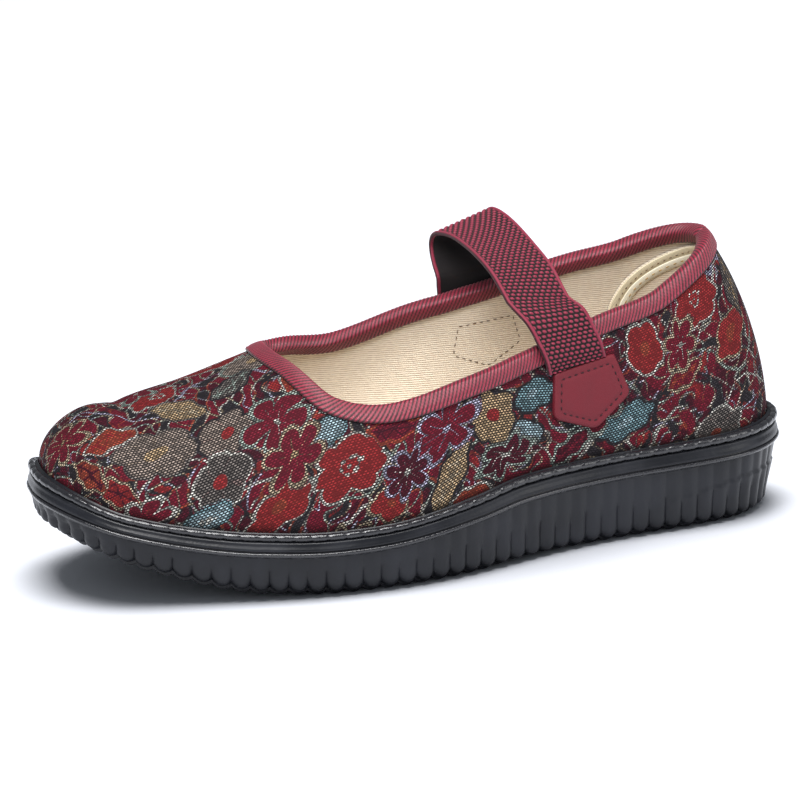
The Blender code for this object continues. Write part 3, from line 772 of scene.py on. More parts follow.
def glossy_rubber():
    m = Maker("shiny rubber")
    m.finish(Base_Color=(0.012, 0.012, 0.015, 1))
    m.finish(Roughness=m.ramp(m.noise(500, 3), 0.3, 0.7, 0.12, 0.34))
    m.finish(Coat_Weight=0.5, Coat_Roughness=0.15)
    m.finish(Normal=m.bump(m.noise(900, 3), 0.00025, 0.8))
    return m.made


def jacquard():
    """Woven cloth: rows of short floats, staggered, over a dark warp. The yarn of a float comes
    from the chart: ground, vine, outline, motif and the lines inside the motif."""
    m = Maker("jacquard cloth")
    u, v = m.uv()
    row_share = m.over(v, ROW_PITCH)
    row = m.math("FLOOR", row_share)
    shift = m.times(m.math("MODULO", m.math("ABSOLUTE", row), 2.0), 0.5)
    along = m.plus(m.over(u, FLOAT_PITCH), shift)
    cell = m.math("FLOOR", along)
    fx = m.math("ABSOLUTE", m.math("SUBTRACT", m.math("FRACT", along), 0.5))
    fy = m.math("ABSOLUTE", m.math("SUBTRACT", m.math("FRACT", row_share), 0.5))
    wide = m.math("POWER", m.over(fx, 0.37), 2.4)
    high = m.math("POWER", m.over(fy, 0.27), 2.2)
    thread = m.ramp(m.plus(wide, high), 0.40, 1.15, 1.0, 0.0)
    hashed = m.add("ShaderNodeTexWhiteNoise", noise_dimensions="2D")
    both = m.add("ShaderNodeCombineXYZ")
    m.link(cell, both.inputs[0])
    m.link(row, both.inputs[1])
    m.link(both.outputs[0], hashed.inputs["Vector"])
    bright = m.ramp(hashed.outputs["Value"], 0.0, 1.0, 0.45, 1.45)
    apart = m.add("ShaderNodeSeparateColor")
    m.link(m.marks("apart"), apart.inputs[0])
    edge, inner, vine = apart.outputs[:3]
    yarn = {name: m.marks(name) for name in CHART_YARNS}
    inside = m.ramp(edge, -0.10, 0.10, 1.0, 0.0)
    outlined = m.ramp(edge, MOTIF_RIM - 0.10, MOTIF_RIM + 0.10, 1.0, 0.0)
    drawn = m.times(inside, m.ramp(inner, -0.10, 0.10, 1.0, 0.0))
    colour = m.mix(m.ramp(vine, VINE - 0.12, VINE + 0.12, 1.0, 0.0), yarn["ground"], yarn["vine"])
    colour = m.mix(outlined, colour, yarn["outline"])
    colour = m.mix(inside, colour, yarn["motif"])
    colour = m.mix(drawn, colour, yarn["centre"])
    tone = m.add("ShaderNodeMix", data_type="RGBA", blend_type="MULTIPLY")
    tone.inputs["Factor"].default_value = 1.0
    m.link(colour, tone.inputs["A"])
    grey = m.add("ShaderNodeCombineXYZ")
    for k in range(3):
        m.link(bright, grey.inputs[k])
    m.link(grey.outputs[0], tone.inputs["B"])
    parts = m.add("ShaderNodeSeparateColor")
    m.link(colour, parts.inputs[0])
    between = m.mix(m.ramp(parts.outputs[1], 0.01, 0.12, 0.40, 0.06), (0.0045, 0.0040, 0.0055, 1), colour)
    m.finish(Base_Color=m.mix(thread, between, tone.outputs["Result"]))
    m.finish(Roughness=m.ramp(thread, 0, 1, 0.9, 0.62))
    m.finish(Specular_IOR_Level=0.14)
    m.finish(Normal=m.bump(thread, 0.00016, 0.8))
    return m.made


def lining_cloth(name, dark, light, ribs_along_y=False):
    """Cotton with fine ribs that lie level, with painted shade in the grooves between them."""
    m = Maker(name)
    split = m.add("ShaderNodeSeparateXYZ")
    m.link(m.spot(), split.inputs[0])
    level = split.outputs[1] if ribs_along_y else split.outputs[2]
    sway = m.times(m.noise(60, 2), 0.0009)
    ribs = m.math("FRACT", m.over(m.plus(level, sway), LINING_PITCH))
    ridge = m.math("SINE", m.times(ribs, math.pi))
    stretched = m.add("ShaderNodeMapping")
    m.link(m.spot(), stretched.inputs["Vector"])
    stretched.inputs["Scale"].default_value = (500, 1500, 2600)
    slub = m.noise(1.0, 2, stretched.outputs["Vector"])
    # Painted shade: the grooves between the ribs take the dark colour, more where the slub noise is high
    deep = m.times(m.ramp(ridge, 0.15, 0.62, 1.0, 0.0), m.ramp(slub, 0.28, 0.62, 0.35, 1.0))
    colour = m.mix(deep, light, dark)
    m.finish(Base_Color=colour)
    m.finish(Roughness=0.9, Specular_IOR_Level=0.15)
    first = m.bump(ridge, 0.00016, 0.7)
    m.finish(Normal=m.bump(slub, 0.00010, 0.5, first))
    return m.made


def ribbed_tape(name, dark, light):
    """Satin binding with raised diagonal ribs, with painted highlight on their tops and painted shade
    between them.
    """
    m = Maker(name)
    u, v = m.uv()
    raised = m.marks("rib", "Fac")
    fine = m.wave(m.plus(u, m.times(v, 0.9)), 0.00036)
    patch = m.noise(220, 3)
    share = m.plus(m.times(raised, 0.8), m.times(patch, 0.25))
    # Painted highlight and shade: the colour runs from the dark one between the ribs to the light one on
    # their tops, with random tone from a noise
    m.finish(Base_Color=m.mix(m.ramp(share, 0.30, 0.95), dark, light))
    m.finish(Roughness=m.ramp(raised, 0, 1, 0.60, 0.34))
    m.finish(Specular_IOR_Level=0.5, Sheen_Weight=0.12)
    m.finish(Normal=m.bump(fine, 0.00004, 0.6))
    return m.made


def woven_elastic(name, dark, light):
    m = Maker(name)
    raised = m.marks("rib", "Fac")
    # Painted highlight and shade: the colour runs from the near-black dark one between the knots to the
    # light one on their tops
    m.finish(Base_Color=m.mix(m.ramp(raised, 0.25, 0.9), dark, light))
    m.finish(Roughness=m.ramp(raised, 0.3, 1, 0.85, 0.36))
    m.finish(Specular_IOR_Level=0.40, Sheen_Weight=0.1)
    u, v = m.uv()
    yarn = m.wave(m.plus(u, m.times(v, 0.35)), 0.0003)
    m.finish(Normal=m.bump(yarn, 0.00003, 0.6))
    return m.made


def shades(base, low, high):
    """A darker and a lighter colour than the base."""
    return [tuple(min(c * share, 1.0) for c in base) + (1,) for share in (low, high)]


def leather(name, base):
    m = Maker(name)
    patch = m.noise(160, 3)
    m.finish(Base_Color=m.mix(patch, *shades(base, 0.86, 1.12)))
    m.finish(Roughness=m.ramp(patch, 0.3, 0.7, 0.52, 0.64))
    m.finish(Specular_IOR_Level=0.35)
    grain = m.add("ShaderNodeTexVoronoi", feature="DISTANCE_TO_EDGE")
    grain.inputs["Scale"].default_value = 1500
    m.link(m.spot(), grain.inputs["Vector"])
    pebble = m.ramp(grain.outputs["Distance"], 0.0, 0.25)
    first = m.bump(pebble, 0.00005, 0.5)
    m.finish(Normal=m.bump(m.noise(500, 3), 0.0001, 0.35, first))
    return m.made


def plain_thread(name, base, roughness=0.7):
    m = Maker(name)
    patch = m.noise(700, 2)
    m.finish(Base_Color=m.mix(patch, *shades(base, 0.75, 1.2)))
    m.finish(Roughness=roughness, Specular_IOR_Level=0.3)
    m.finish(Normal=m.bump(m.noise(2500, 2), 0.00005, 0.5))
    return m.made


def webbing(name, base):
    """Flat cotton tape with a fine twill."""
    m = Maker(name)
    u, v = m.uv()
    twill = m.wave(m.plus(u, v), 0.0007)
    cross = m.wave(v, 0.0005)
    woven = m.times(m.plus(twill, cross), 0.25)
    # Painted shade: the colour darkens in the low lines of the weave, following the same relief as the bump
    m.finish(Base_Color=m.mix(m.ramp(woven, -0.4, 0.3), *shades(base, 0.74, 1.06)))
    m.finish(Roughness=0.85, Specular_IOR_Level=0.2)
    m.finish(Normal=m.bump(woven, 0.00012, 0.6))
    return m.made


# Jacquard motifs. Places are in millimetres on the cloth: along the foot, and from the ridge of
# the last down its outer side. Some follow points picked in the photo, which a program turned
# into millimetres. The chart repeats in both ways.
CHART_ALONG = 250
CHART_ACROSS = 96
ROW_PITCH = 0.00074       # from one row of floats to the next
FLOAT_PITCH = 0.00112     # from one float to the next along its row
LINING_PITCH = 0.00072    # ribs of the lining

MOTIF_RIM = 0.78          # millimetres, width of a motif's outline
VINE = 0.38               # half the width of a vine
CHART_YARNS = ("ground", "motif", "outline", "centre", "vine")

CLOTH_DEPTH = 0.84        # how light the floats are, of their yarns

YARNS = {
    # colour of the floats in linear light
    "burgundy": (0.165, 0.009, 0.023),
    "wine": (0.075, 0.007, 0.017),
    "red": (0.270, 0.022, 0.023),
    "rust": (0.330, 0.060, 0.033),
    "stone": (0.360, 0.285, 0.240),
    "slate": (0.190, 0.165, 0.150),
    "tan": (0.600, 0.420, 0.240),
    "sky": (0.430, 0.590, 0.650),
    "teal": (0.200, 0.340, 0.380),
    "white": (0.700, 0.680, 0.620),
    "lilac": (0.560, 0.540, 0.720),
    "sand": (0.560, 0.450, 0.310),
    "sage": (0.420, 0.500, 0.440),
    "coal": (0.026, 0.022, 0.026),
}

MOTIFS = (
    # form, along, across, half length, half width, turn in degrees, petals, yarn, edge, centre
    ("bloom", 35, 58, 12, 8.5, 10, 7, "red", "white", "white"),
    ("bloom", -96, 40, 11.5, 8.5, 15, 7, "red", "white", "white"),
    ("bloom", 57, 62, 10, 6, 20, 6, "red", "white", "rust"),
    ("bloom", 24, 73, 6, 5, 0, 5, "red", "sand", "rust"),
    ("bloom", 90, 31, 13, 8, -12, 6, "stone", "slate", "tan"),
    ("bloom", 69, 33, 9, 7, 30, 5, "stone", "coal", "red"),
    ("bloom", 73, 47, 9, 8, 55, 5, "slate", "white", "red"),
    ("bloom", -12, 62, 8, 9, 40, 6, "tan", "coal", "red"),
    ("bloom", -24, 69, 5.5, 4.2, 0, 5, "sky", "coal", "sky"),
    ("bloom", -27, 57, 8, 4.6, 20, 6, "teal", "coal", "sky"),
    ("bloom", -60, 70, 10, 5, 12, 6, "teal", "coal", "sky"),
    ("bloom", -68, 50, 6, 9, 20, 5, "red", "white", "rust"),
    ("bloom", -108, 57, 9, 6, 30, 5, "red", "sand", "rust"),
    ("bloom", -44, 55, 8, 6, 0, 6, "stone", "sage", "red"),
    ("bloom", 41, 46, 6, 4, 20, 5, "sky", "teal", "sky"),
    ("bloom", 78, 56, 6, 3, 0, 5, "sky", "teal", "white"),
    ("bloom", 12, 24, 11, 8, 30, 7, "red", "white", "white"),
    ("bloom", 52, 4, 11, 7, 10, 6, "stone", "sage", "tan"),
    ("bloom", 84, 4, 8, 6, 40, 6, "red", "white", "white"),
    ("bloom", -24, 14, 12, 8, 10, 6, "stone", "slate", "red"),
    ("bloom", -64, 22, 11, 8, 60, 7, "red", "sand", "white"),
    ("bloom", -100, 12, 10, 8, 20, 6, "tan", "coal", "red"),
    ("bloom", -52, 90, 10, 7, 20, 6, "stone", "slate", "red"),
    ("bloom", 62, 86, 11, 8, 0, 7, "red", "white", "white"),
    ("bloom", 18, 92, 9, 7, 20, 6, "teal", "sky", "white"),
    ("bloom", -96, 84, 10, 7, 15, 6, "slate", "white", "rust"),
    ("bloom", 110, 84, 9, 7, 15, 6, "red", "white", "white"),
    ("leaf", 102, 21, 9, 3.6, 12, 0, "rust", "white", "red"),
    ("leaf", 104, 40, 9, 3.2, -40, 0, "red", "sand", "wine"),
    ("leaf", 112, 30, 8, 2.4, -60, 0, "rust", "sand", "wine"),
    ("leaf", 4, 75, 12, 4.2, 55, 0, "tan", "coal", "sand"),
    ("leaf", 80, 17, 9, 4.5, -35, 0, "tan", "slate", "sand"),
    ("leaf", 20, 52, 9, 3, -14, 0, "burgundy", "rust", "wine"),
    ("leaf", 62, 14, 8, 3.6, 30, 0, "slate", "coal", "sage"),
    ("leaf", -118, 44, 11, 5, 75, 0, "slate", "coal", "tan"),
    ("leaf", -84, 62, 10, 3, 20, 0, "burgundy", "sand", "rust"),
    ("leaf", -40, 74, 9, 3, 30, 0, "wine", "sage", "burgundy"),
    ("leaf", 44, 20, 10, 4, 60, 0, "rust", "white", "red"),
    ("leaf", -44, 32, 10, 4, -50, 0, "sage", "coal", "sky"),
    ("leaf", -84, 88, 10, 4, -30, 0, "tan", "coal", "sand"),
    ("leaf", -4, 86, 9, 4, -20, 0, "rust", "white", "red"),
    ("leaf", 90, 72, 10, 4, 30, 0, "stone", "coal", "tan"),
    ("daisy", 54, 36, 10, 9, 8, 5, "burgundy", "sage", "white"),
    ("daisy", 51, 49, 10, 8, 40, 6, "burgundy", "sand", "tan"),
    ("daisy", 5, 60, 11, 8, 10, 6, "burgundy", "lilac", "lilac"),
    ("daisy", 18, 66, 7, 7, 30, 7, "wine", "lilac", "white"),
    ("daisy", 97, 50, 9, 6, 0, 6, "burgundy", "white", "rust"),
    ("daisy", -16, 75, 10, 5, 20, 6, "wine", "sage", "white"),
    ("daisy", -84, 52, 9, 7, 45, 6, "burgundy", "sand", "white"),
    ("daisy", -112, 28, 10, 8, 5, 6, "wine", "lilac", "lilac"),
    ("daisy", -50, 64, 8, 6, 20, 5, "burgundy", "sage", "white"),
    ("daisy", 116, 12, 9, 7, 20, 6, "burgundy", "sand", "tan"),
    ("daisy", 30, 10, 10, 8, 0, 6, "burgundy", "lilac", "white"),
    ("daisy", -84, 8, 10, 7, 10, 6, "burgundy", "sand", "white"),
    ("daisy", -4, 42, 9, 7, 50, 6, "wine", "sage", "white"),
    ("daisy", 38, 84, 9, 7, 50, 6, "wine", "sand", "white"),
    ("daisy", -24, 90, 9, 7, 10, 6, "wine", "lilac", "white"),
    ("daisy", 88, 90, 9, 7, 10, 6, "burgundy", "sage", "white"),
)

VINES = (
    # middle across, sway, waves in the chart's length, start, yarn
    (44, 9, 5, 0.2, "white"),
    (62, 7, 7, 1.9, "sage"),
    (76, 5, 9, 4.0, "white"),
    (27, 8, 4, 2.6, "sand"),
    (10, 7, 6, 0.9, "lilac"),
    (90, 5, 7, 3.4, "white"),
)


def wobble(along, across, seed, size):
    """Smooth wandering between -1 and 1, over about size millimetres, that fits the chart."""
    value = np.zeros_like(along)
    for k in range(5):
        a = math.tau * round(CHART_ALONG / size * (0.6 + 0.23 * k)) / CHART_ALONG
        b = math.tau * round(CHART_ACROSS / size * (1.5 - 0.27 * k)) / CHART_ACROSS
        turn = seed * 1.7 + k * 2.4
        value += np.sin(a * along + turn) * np.cos(b * across - 1.3 * turn)
    return value / 2.5


def contour(along, across, seed, size):
    """A wandering field, and the distance from its zero line."""
    here = wobble(along, across, seed, size)
    step = 0.25
    ahead = wobble(along + step, across, seed, size)
    below = wobble(along, across + step, seed, size)
    slope = np.hypot(ahead - here, below - here)
    return here, np.abs(here) / np.maximum(slope / step, 0.02)


def wrapped(value, period):
    return (value + period / 2) % period - period / 2


def motif_shape(form, p, q, long, wide, petals, ringed):
    """Distance from a motif's edge, and from the lines inside it, in millimetres."""
    far = np.hypot(p, q)
    size = min(long, wide)
    if form == "leaf":
        edge = np.where(np.abs(p) > 1.05, 9.0, (np.abs(q) - (1 - p * p)) * wide * 0.85)
        serrated = edge + 0.35 * np.sin(p * 9)
        vein = np.minimum(np.abs(q) * wide, np.abs(np.abs(q) * wide - np.abs(wrapped(p * long, 5.0))) * 0.8)
        return serrated, np.where(np.abs(p) > 0.85, 9.0, vein - 0.30)
    angle = np.arctan2(q, p)
    cleft = np.abs(np.sin(angle * petals / 2))
    petal = np.abs(np.cos(angle * petals / 2))
    if form == "bloom":
        edge = (far - 0.76 - 0.24 * petal ** 0.6) * size
        rays = (1 - cleft) * far * size * 1.2
        if ringed:
            inner = np.abs(far - 0.28) * size - 0.55 + 0.45 * (np.cos(angle * 6) < 0)
            return edge, np.minimum(inner, (far - 0.07) * size)
        return edge, np.where((far > 0.34) & (rays < 0.25), 0.05, (far - 0.27) * size)
    edge = (far - 0.22 - 0.78 * petal ** 0.5) * size * 0.62
    rays = np.where(far < 0.66, cleft * far * size * 0.8 - 0.33, 9.0)
    return edge, np.minimum(rays, (far - 0.13) * size)


def chart(along, across):
    """The cloth at places in millimetres: the yarns there, and how far away the nearest motif's
    edge, its inner lines and the nearest vine are."""
    names = list(YARNS)
    number = {name: k for k, name in enumerate(names)}
    colours = np.array([(*YARNS[name], 1) for name in names])
    colours[:, :3] *= CLOTH_DEPTH
    along = along + 1.1 * wobble(along, across, 1, 17)
    across = across + 0.9 * wobble(along, across, 2, 15)
    field, first = contour(along, across, 4, 15)
    other, second = contour(along, across, 7, 11)
    mood = wobble(along, across, 3, 34)
    ground = np.where(field > 0, number["burgundy"], number["wine"])
    ground = np.where((other > -0.25) & (field < 0.05), number["coal"], ground)
    ground = np.where((mood > 0.35) & (ground == number["burgundy"]), number["wine"], ground)
    ground = np.where((mood < -0.45) & (other > 0.3), number["red"], ground)
    lines = ("sage", "sand", "rust", "white", "burgundy", "lilac")
    slow = wobble(along, across, 5, 26)
    pick = np.clip(((slow + 1) * 0.5 * len(lines)).astype(int), 0, len(lines) - 1)
    vine = np.array([number[name] for name in lines])[pick]
    vine_away = first + 0.05
    nearer = second + 0.12 < vine_away
    vine = np.where(nearer, np.roll(np.array([number[name] for name in lines]), 2)[pick], vine)
    vine_away = np.where(nearer, second + 0.12, vine_away)
    for middle, sway, waves, start, colour in VINES:
        turn = along / CHART_ALONG * math.tau * waves + start
        away = wrapped(across - middle - sway * np.sin(turn), CHART_ACROSS)
        away = np.abs(away) / np.hypot(1, sway * np.cos(turn) * math.tau * waves / CHART_ALONG)
        vine = np.where(away < vine_away, number[colour], vine)
        vine_away = np.minimum(away, vine_away)
    edge = np.full(along.shape, 9.0)
    inner = np.full(along.shape, 9.0)
    motif = np.zeros(along.shape, int)
    outline = np.zeros(along.shape, int)
    centre = np.zeros(along.shape, int)
    for form, at, down, long, wide, turned, petals, inside, rim, heart in MOTIFS:
        da = wrapped(along - at, CHART_ALONG)
        db = wrapped(across - down, CHART_ACROSS)
        c = math.cos(math.radians(turned))
        s = math.sin(math.radians(turned))
        p = (da * c + db * s) / long
        q = (db * c - da * s) / wide
        away, lines_away = motif_shape(form, p, q, long, wide, petals, heart == "white")
        here = (away < MOTIF_RIM + 0.3) | (away < edge)
        edge = np.where(here, away, edge)
        inner = np.where(here, lines_away, inner)
        motif = np.where(here, number[inside], motif)
        outline = np.where(here, number[rim], outline)
        centre = np.where(here, number[heart], centre)
    apart = [np.clip(edge, -6, 6), np.clip(inner, -3, 3), np.clip(vine_away, 0, 3), np.ones(edge.shape)]
    yarns = dict(zip(CHART_YARNS, (colours[k] for k in (ground, motif, outline, centre, vine))))
    return {**yarns, "apart": np.stack(apart, -1)}


# Upper: dense surface of the last, inside the collar's line

UPPER_BEHIND = 262        # meridians from the heel pole to the throat
UPPER_BEFORE = 104        # from the throat to the toe pole
UPPER_FAN = 131           # round the heel, and round the toe
UPPER_ROWS = 98
LINING_ROWS = 40
UPPER_SKIRT = 0.0045      # cloth below the rim, hidden in the sole


def upper_grid(lift, rows):
    """Turns, climbs and points of the upper, from the rim up to its edge."""
    turns = upper_turns(UPPER_BEHIND, UPPER_BEFORE, UPPER_FAN)
    share = share_of(read_loop(FEATHER, turns)[:, 0])
    edge = np.where(share < THROAT - 1e-9, collar_climb(turns), 1)
    steps = np.linspace(0, 1, rows)
    turn = np.repeat(turns[None], rows, 0)
    climb = steps[:, None] * edge[None]
    points = last_point(turn.reshape(-1), climb.reshape(-1)).reshape(rows, -1, 3)
    normal = normals_at(turn.reshape(-1), climb.reshape(-1)).reshape(rows, -1, 3)
    closed = share >= THROAT - 1e-9
    top = normal[-1, closed]
    top[:, 1] = 0
    normal[-1, closed] = unit(top)
    return turn, climb, points + normal * lift


HEEL_ROUND = 0.034        # radius of the heel that the cloth goes round, to its seam at the back


def cloth_places(turn, climb):
    """Places on the cloth in millimetres: along the foot, and from the ridge down."""
    shape = turn.shape
    turn = turn.reshape(-1)
    climb = climb.reshape(-1)
    foot = read_loop(FEATHER, turn)
    pole = np.clip(share_of(foot[:, 0]), HEEL_POLE, TOE_POLE)
    ridge = np.stack([(pole - 0.5) * LENGTH, column(LAST, 5, pole) * BALL_WIDTH], 1)
    way = foot - ridge
    angle = np.arctan2(way[:, 1], way[:, 0])
    down = np.zeros(len(turn))
    steps = 24
    before = last_point(turn, np.ones(len(turn)))
    for k in range(1, steps + 1):
        here = last_point(turn, 1 + (climb - 1) * k / steps)
        down += np.linalg.norm(here - before, axis=1)
        before = here
    along = ridge[:, 0] + down * np.cos(angle)
    across = down * np.sin(angle)
    side = np.where(turn < 0.5, 1.0, -1.0)
    behind = np.maximum(np.abs(angle) - math.pi / 2, 0)
    round_heel = (pole <= HEEL_POLE + 1e-9) & (behind > 0)
    along = np.where(round_heel, ridge[:, 0] - HEEL_ROUND * behind, along)
    across = np.where(round_heel, down * side, across)
    return along.reshape(shape) * 1000, across.reshape(shape) * 1000


def upper_piece(finish):
    turn, climb, points = upper_grid(0.0, UPPER_ROWS)
    along, across = cloth_places(turn, climb)
    layers = chart(along, across)
    # Painted shade: every yarn colour of the cloth is darkened towards the sole's rim, down to a quarter at
    # the rim, over the lowest 2.4 mm
    high = (points[..., 2] - rim_height(share_of(points[..., 0]))) * 1000
    shade = (0.25 + 0.75 * np.clip(high / 2.4, 0, 1))[..., None]
    for name in CHART_YARNS:
        layers[name][..., :3] *= shade
    skirt = points[0].copy()
    skirt[:, 2] -= UPPER_SKIRT
    points = np.concatenate([skirt[None], points])
    layers = {name: np.concatenate([values[:1], values]) for name, values in layers.items()}
    uv = np.stack([along, across], -1) / 1000
    uv = np.concatenate([uv[:1], uv])
    uv = np.concatenate([uv, uv[:, :1] * (1, -1)], 1)
    return make_grid("upper_cloth", points, finish, uv, layers, (False, True), True, True)


def lining_piece(finish):
    _, _, points = upper_grid(-WALL, LINING_ROWS)
    skirt = points[0].copy()
    skirt[:, 2] = cup_floor(share_of(skirt[:, 0])) + GAP
    points = np.concatenate([skirt[None], points])
    return make_grid("lining", points, finish, wrap=(False, True), weld=True)


# Sole

RIBS = round(LIP_LENGTH / RIB_PITCH)
RIB_STEPS = 10
BEAD_DASHES = 110         # raised dashes on the bead, round the whole shoe
BEAD_MIDDLE = 0.0021      # middle of the bead inside the lip line
BEAD_ANGLES = (-80, -55, -30, -8, 14, 36, 58, 80, 105)
WALL_FROM = 0.0032        # lobes' lower end up to where the wall's even rings start
WALL_RINGS = 22
BAND_FROM = 0.0013        # least height of the band above the lip

FOOT_RINGS = (
    # inside the tuck, and of the cut; above the lobes, of the arch, and of the cut
    (TREAD_INSET, 0, -TREAD, 1, 1),
    (TREAD_INSET - 0.0004, 0, 0.0002 - TREAD, 1, 1),
    (TREAD_INSET - 0.0006, 0, -0.0006, 0.5, 1),
    (0.0014, 0.5, -0.0002, 0, 1.1),
    (0.0006, 0.8, 0.0004, 0, 1),
    (0.00015, 1, 0.0013, 0, 0.6),
    (0, 1, 0.0024, 0, 0),
)
LIP_RINGS = (
    # inside the lip line, above the lip
    (LIP_STEP * 0.9, -LIP_HEIGHT * 0.8),
    (0.00025, -LIP_HEIGHT * 0.55),
    (0, -LIP_HEIGHT * 0.3),
    (0, 0),
    (0.00022, 0.00028),
)
GROOVE_RINGS = (
    # inside the lip line, above the lip
    (0.00085, 0.00034),
    (0.00095, 0.00062),
    (0.00048, 0.00082),
    (0.00042, 0.0012),
)
BAND_RINGS = (
    # inside the lip line, share of the rim's height above the lip
    (0.00062, 0.28),
    (0.00088, 0.36),
    (0.00105, 0.44),
    (0.00108, 0.51),
    (0.00122, 0.555),
    (0.0023, 0.61),
)
RIM_RINGS = (
    # inside the lip line, below the rim
    (0.0030, 0.0008),
    (0.0034, 0.0007),
    (0.0038, 0.0002),
    (0.0040, 0.0010),
    (0.0041, 0.0050),
)


def sole_piece(finish, shine):
    count = RIBS * RIB_STEPS
    turn = np.arange(count) / count
    phase = (np.arange(count) % RIB_STEPS) / RIB_STEPS
    line = read_loop(LIP, turn)
    out = read_loop(LIP_NORMAL, turn)
    share = share_of(line[:, 0])
    lobe = lobe_height(share)
    lip = lip_height(share)
    rim = rim_height(share)
    tuck = TAPER + HEEL_TUCK * column(SOLE, 5, share)
    arch = ARCH_RECESS * column(SOLE, 4, share)
    groove = np.abs(2 * phase - 1)
    rib = np.arange(count) // RIB_STEPS
    # No two ribs are quite alike, and a low step runs along the wall at the heel
    uneven = 1 + 0.22 * np.sin(rib * 2.4) + 0.12 * np.sin(rib * 5.1)
    cut = RIB_DEPTH * groove ** 2.2
    flute = RIB_DEPTH * 0.60 * groove ** 1.5 * uneven
    rear = np.clip((0.24 - share) / 0.16, 0, 1)
    seam = 0.30 + 0.30 * rear
    rings = []

    def ring(inset, height):
        inset = np.broadcast_to(inset, (count,))
        height = np.broadcast_to(height, (count,))
        rings.append(np.column_stack([line - out * inset[:, None], height]))

    for inset, inset_cut, height, arched, height_cut in FOOT_RINGS:
        ring(tuck + inset + cut * inset_cut, lobe + height + arch * arched + cut * height_cut)
    top = lip - LIP_HEIGHT
    low = lobe + WALL_FROM
    for k in range(WALL_RINGS):
        t = k / (WALL_RINGS - 1)
        inset = tuck * (1 - t) ** 1.2 + LIP_STEP * t
        fade = np.clip(1 - t / (0.44 + 0.06 * uneven), 0, 1)
        depth = cut * fade ** 0.7 * 0.9 + flute * (1 - fade) * (1 - 0.55 * t)
        step = np.where((t > seam) & (rear > 0), 0.00050 * rear, 0)
        ring(inset + depth + step, low + (top - low) * t)
    tall = rim - lip
    lip_from = len(rings)
    for inset, height in LIP_RINGS:
        ring(inset, lip + height)
    lip_to = len(rings)
    for inset, height in GROOVE_RINGS:
        ring(inset, lip + height)
    for inset, height in BAND_RINGS:
        ring(inset, lip + np.maximum(tall * height, BAND_FROM))
    bead_from = len(rings)
    dash = (turn * BEAD_DASHES) % 1.0
    pulse = np.clip(np.sin(math.pi * dash) * 1.7, 0, 1) ** 0.7
    radius = tall * 0.19 * (0.78 + 0.22 * pulse)
    for angle in BEAD_ANGLES:
        turned = math.radians(angle)
        ring(BEAD_MIDDLE - radius * math.cos(turned), lip + tall * 0.80 + radius * math.sin(turned))
    bead_to = len(rings)
    for inset, depth in RIM_RINGS:
        ring(inset, rim - depth)
    points = np.array(rings)
    made = make_grid("sole", points, finish, wrap=(False, True))
    made.data.materials.append(shine)
    shape = bmesh.new()
    shape.from_mesh(made.data)
    shape.verts.ensure_lookup_table()
    for i in range(count // 2):
        a = shape.verts[i]
        b = shape.verts[i + 1]
        c = shape.verts[(count - i - 1) % count]
        d = shape.verts[(count - i) % count]
        corners = list(dict.fromkeys((d, c, b, a)))
        if len(corners) > 2:
            shape.faces.new(corners)
    shape.to_mesh(made.data)
    shape.free()
    row = np.arange(len(made.data.polygons)) // count
    shiny = ((row >= bead_from) & (row < bead_to)) | ((row >= lip_from) & (row < lip_to))
    made.data.polygons.foreach_set("material_index", shiny.astype(np.int32))
    smooth_faces(made.data)
    made.data.set_sharp_from_angle(angle=math.radians(52))
    return made


# Collar binding

BINDING_STATIONS = 1500
BINDING_RIB = 0.00132     # from one diagonal rib to the next
BINDING_SLANT = 0.62      # run of a rib along the collar for each metre across it
BINDING_PUSH = 0.00030    # height of a rib
BINDING_EDGE = 0.0012     # the ribs fade out over this width at the tape's two edges

BINDING_FACE = (
    # share of its height over the cloth, below the collar's edge, from the outer edge up
    (0.6, BINDING_OUTSIDE + 0.0001),
    (0.9, BINDING_OUTSIDE - 0.0005),
    (0.84, BINDING_OUTSIDE - 0.0010),
    (0.98, BINDING_OUTSIDE - 0.0015),
    (1.06, 0.0026),
    (1.1, 0.0017),
    (1.06, 0.0008),
)
BINDING_BACK = (
    # share of its depth inside, below the collar's edge, from the top down
    (1.02, 0.0009),
    (1.03, 0.0019),
    (1, 0.0028),
    (0.97, BINDING_INSIDE - 0.0008),
    (0.93, BINDING_INSIDE),
)


def collar_line(count):
    """Even places along the collar's edge, from the throat back along the inner side, round
    the heel and forward along the outer side."""
    reach = np.linspace(0, 1, 1600)
    share = THROAT * (1 - reach ** 2)
    outer_low = float(turn_at([HEEL_POLE * 0.5], True)[0])
    inner_low = float(turn_at([HEEL_POLE * 0.5], False)[0]) - 1
    keep = share > HEEL_POLE * 0.5
    inner = turn_at(share[keep], False) - 1
    outer = turn_at(share[keep], True)[::-1]
    back = np.linspace(inner_low, outer_low, 400)[1:-1]
    turn = np.concatenate([inner, back, outer])
    climb = collar_climb(turn)
    points = last_point(turn, climb)
    length = run_length(points)
    at = np.linspace(0, length[-1], count, endpoint=False)
    turn = np.interp(at, length, turn)
    climb = np.interp(at, length, climb)
    for _ in range(30):
        climb[1:-1] = (climb[:-2] + climb[1:-1] + climb[2:]) / 3
    return turn, climb, at, length[-1]


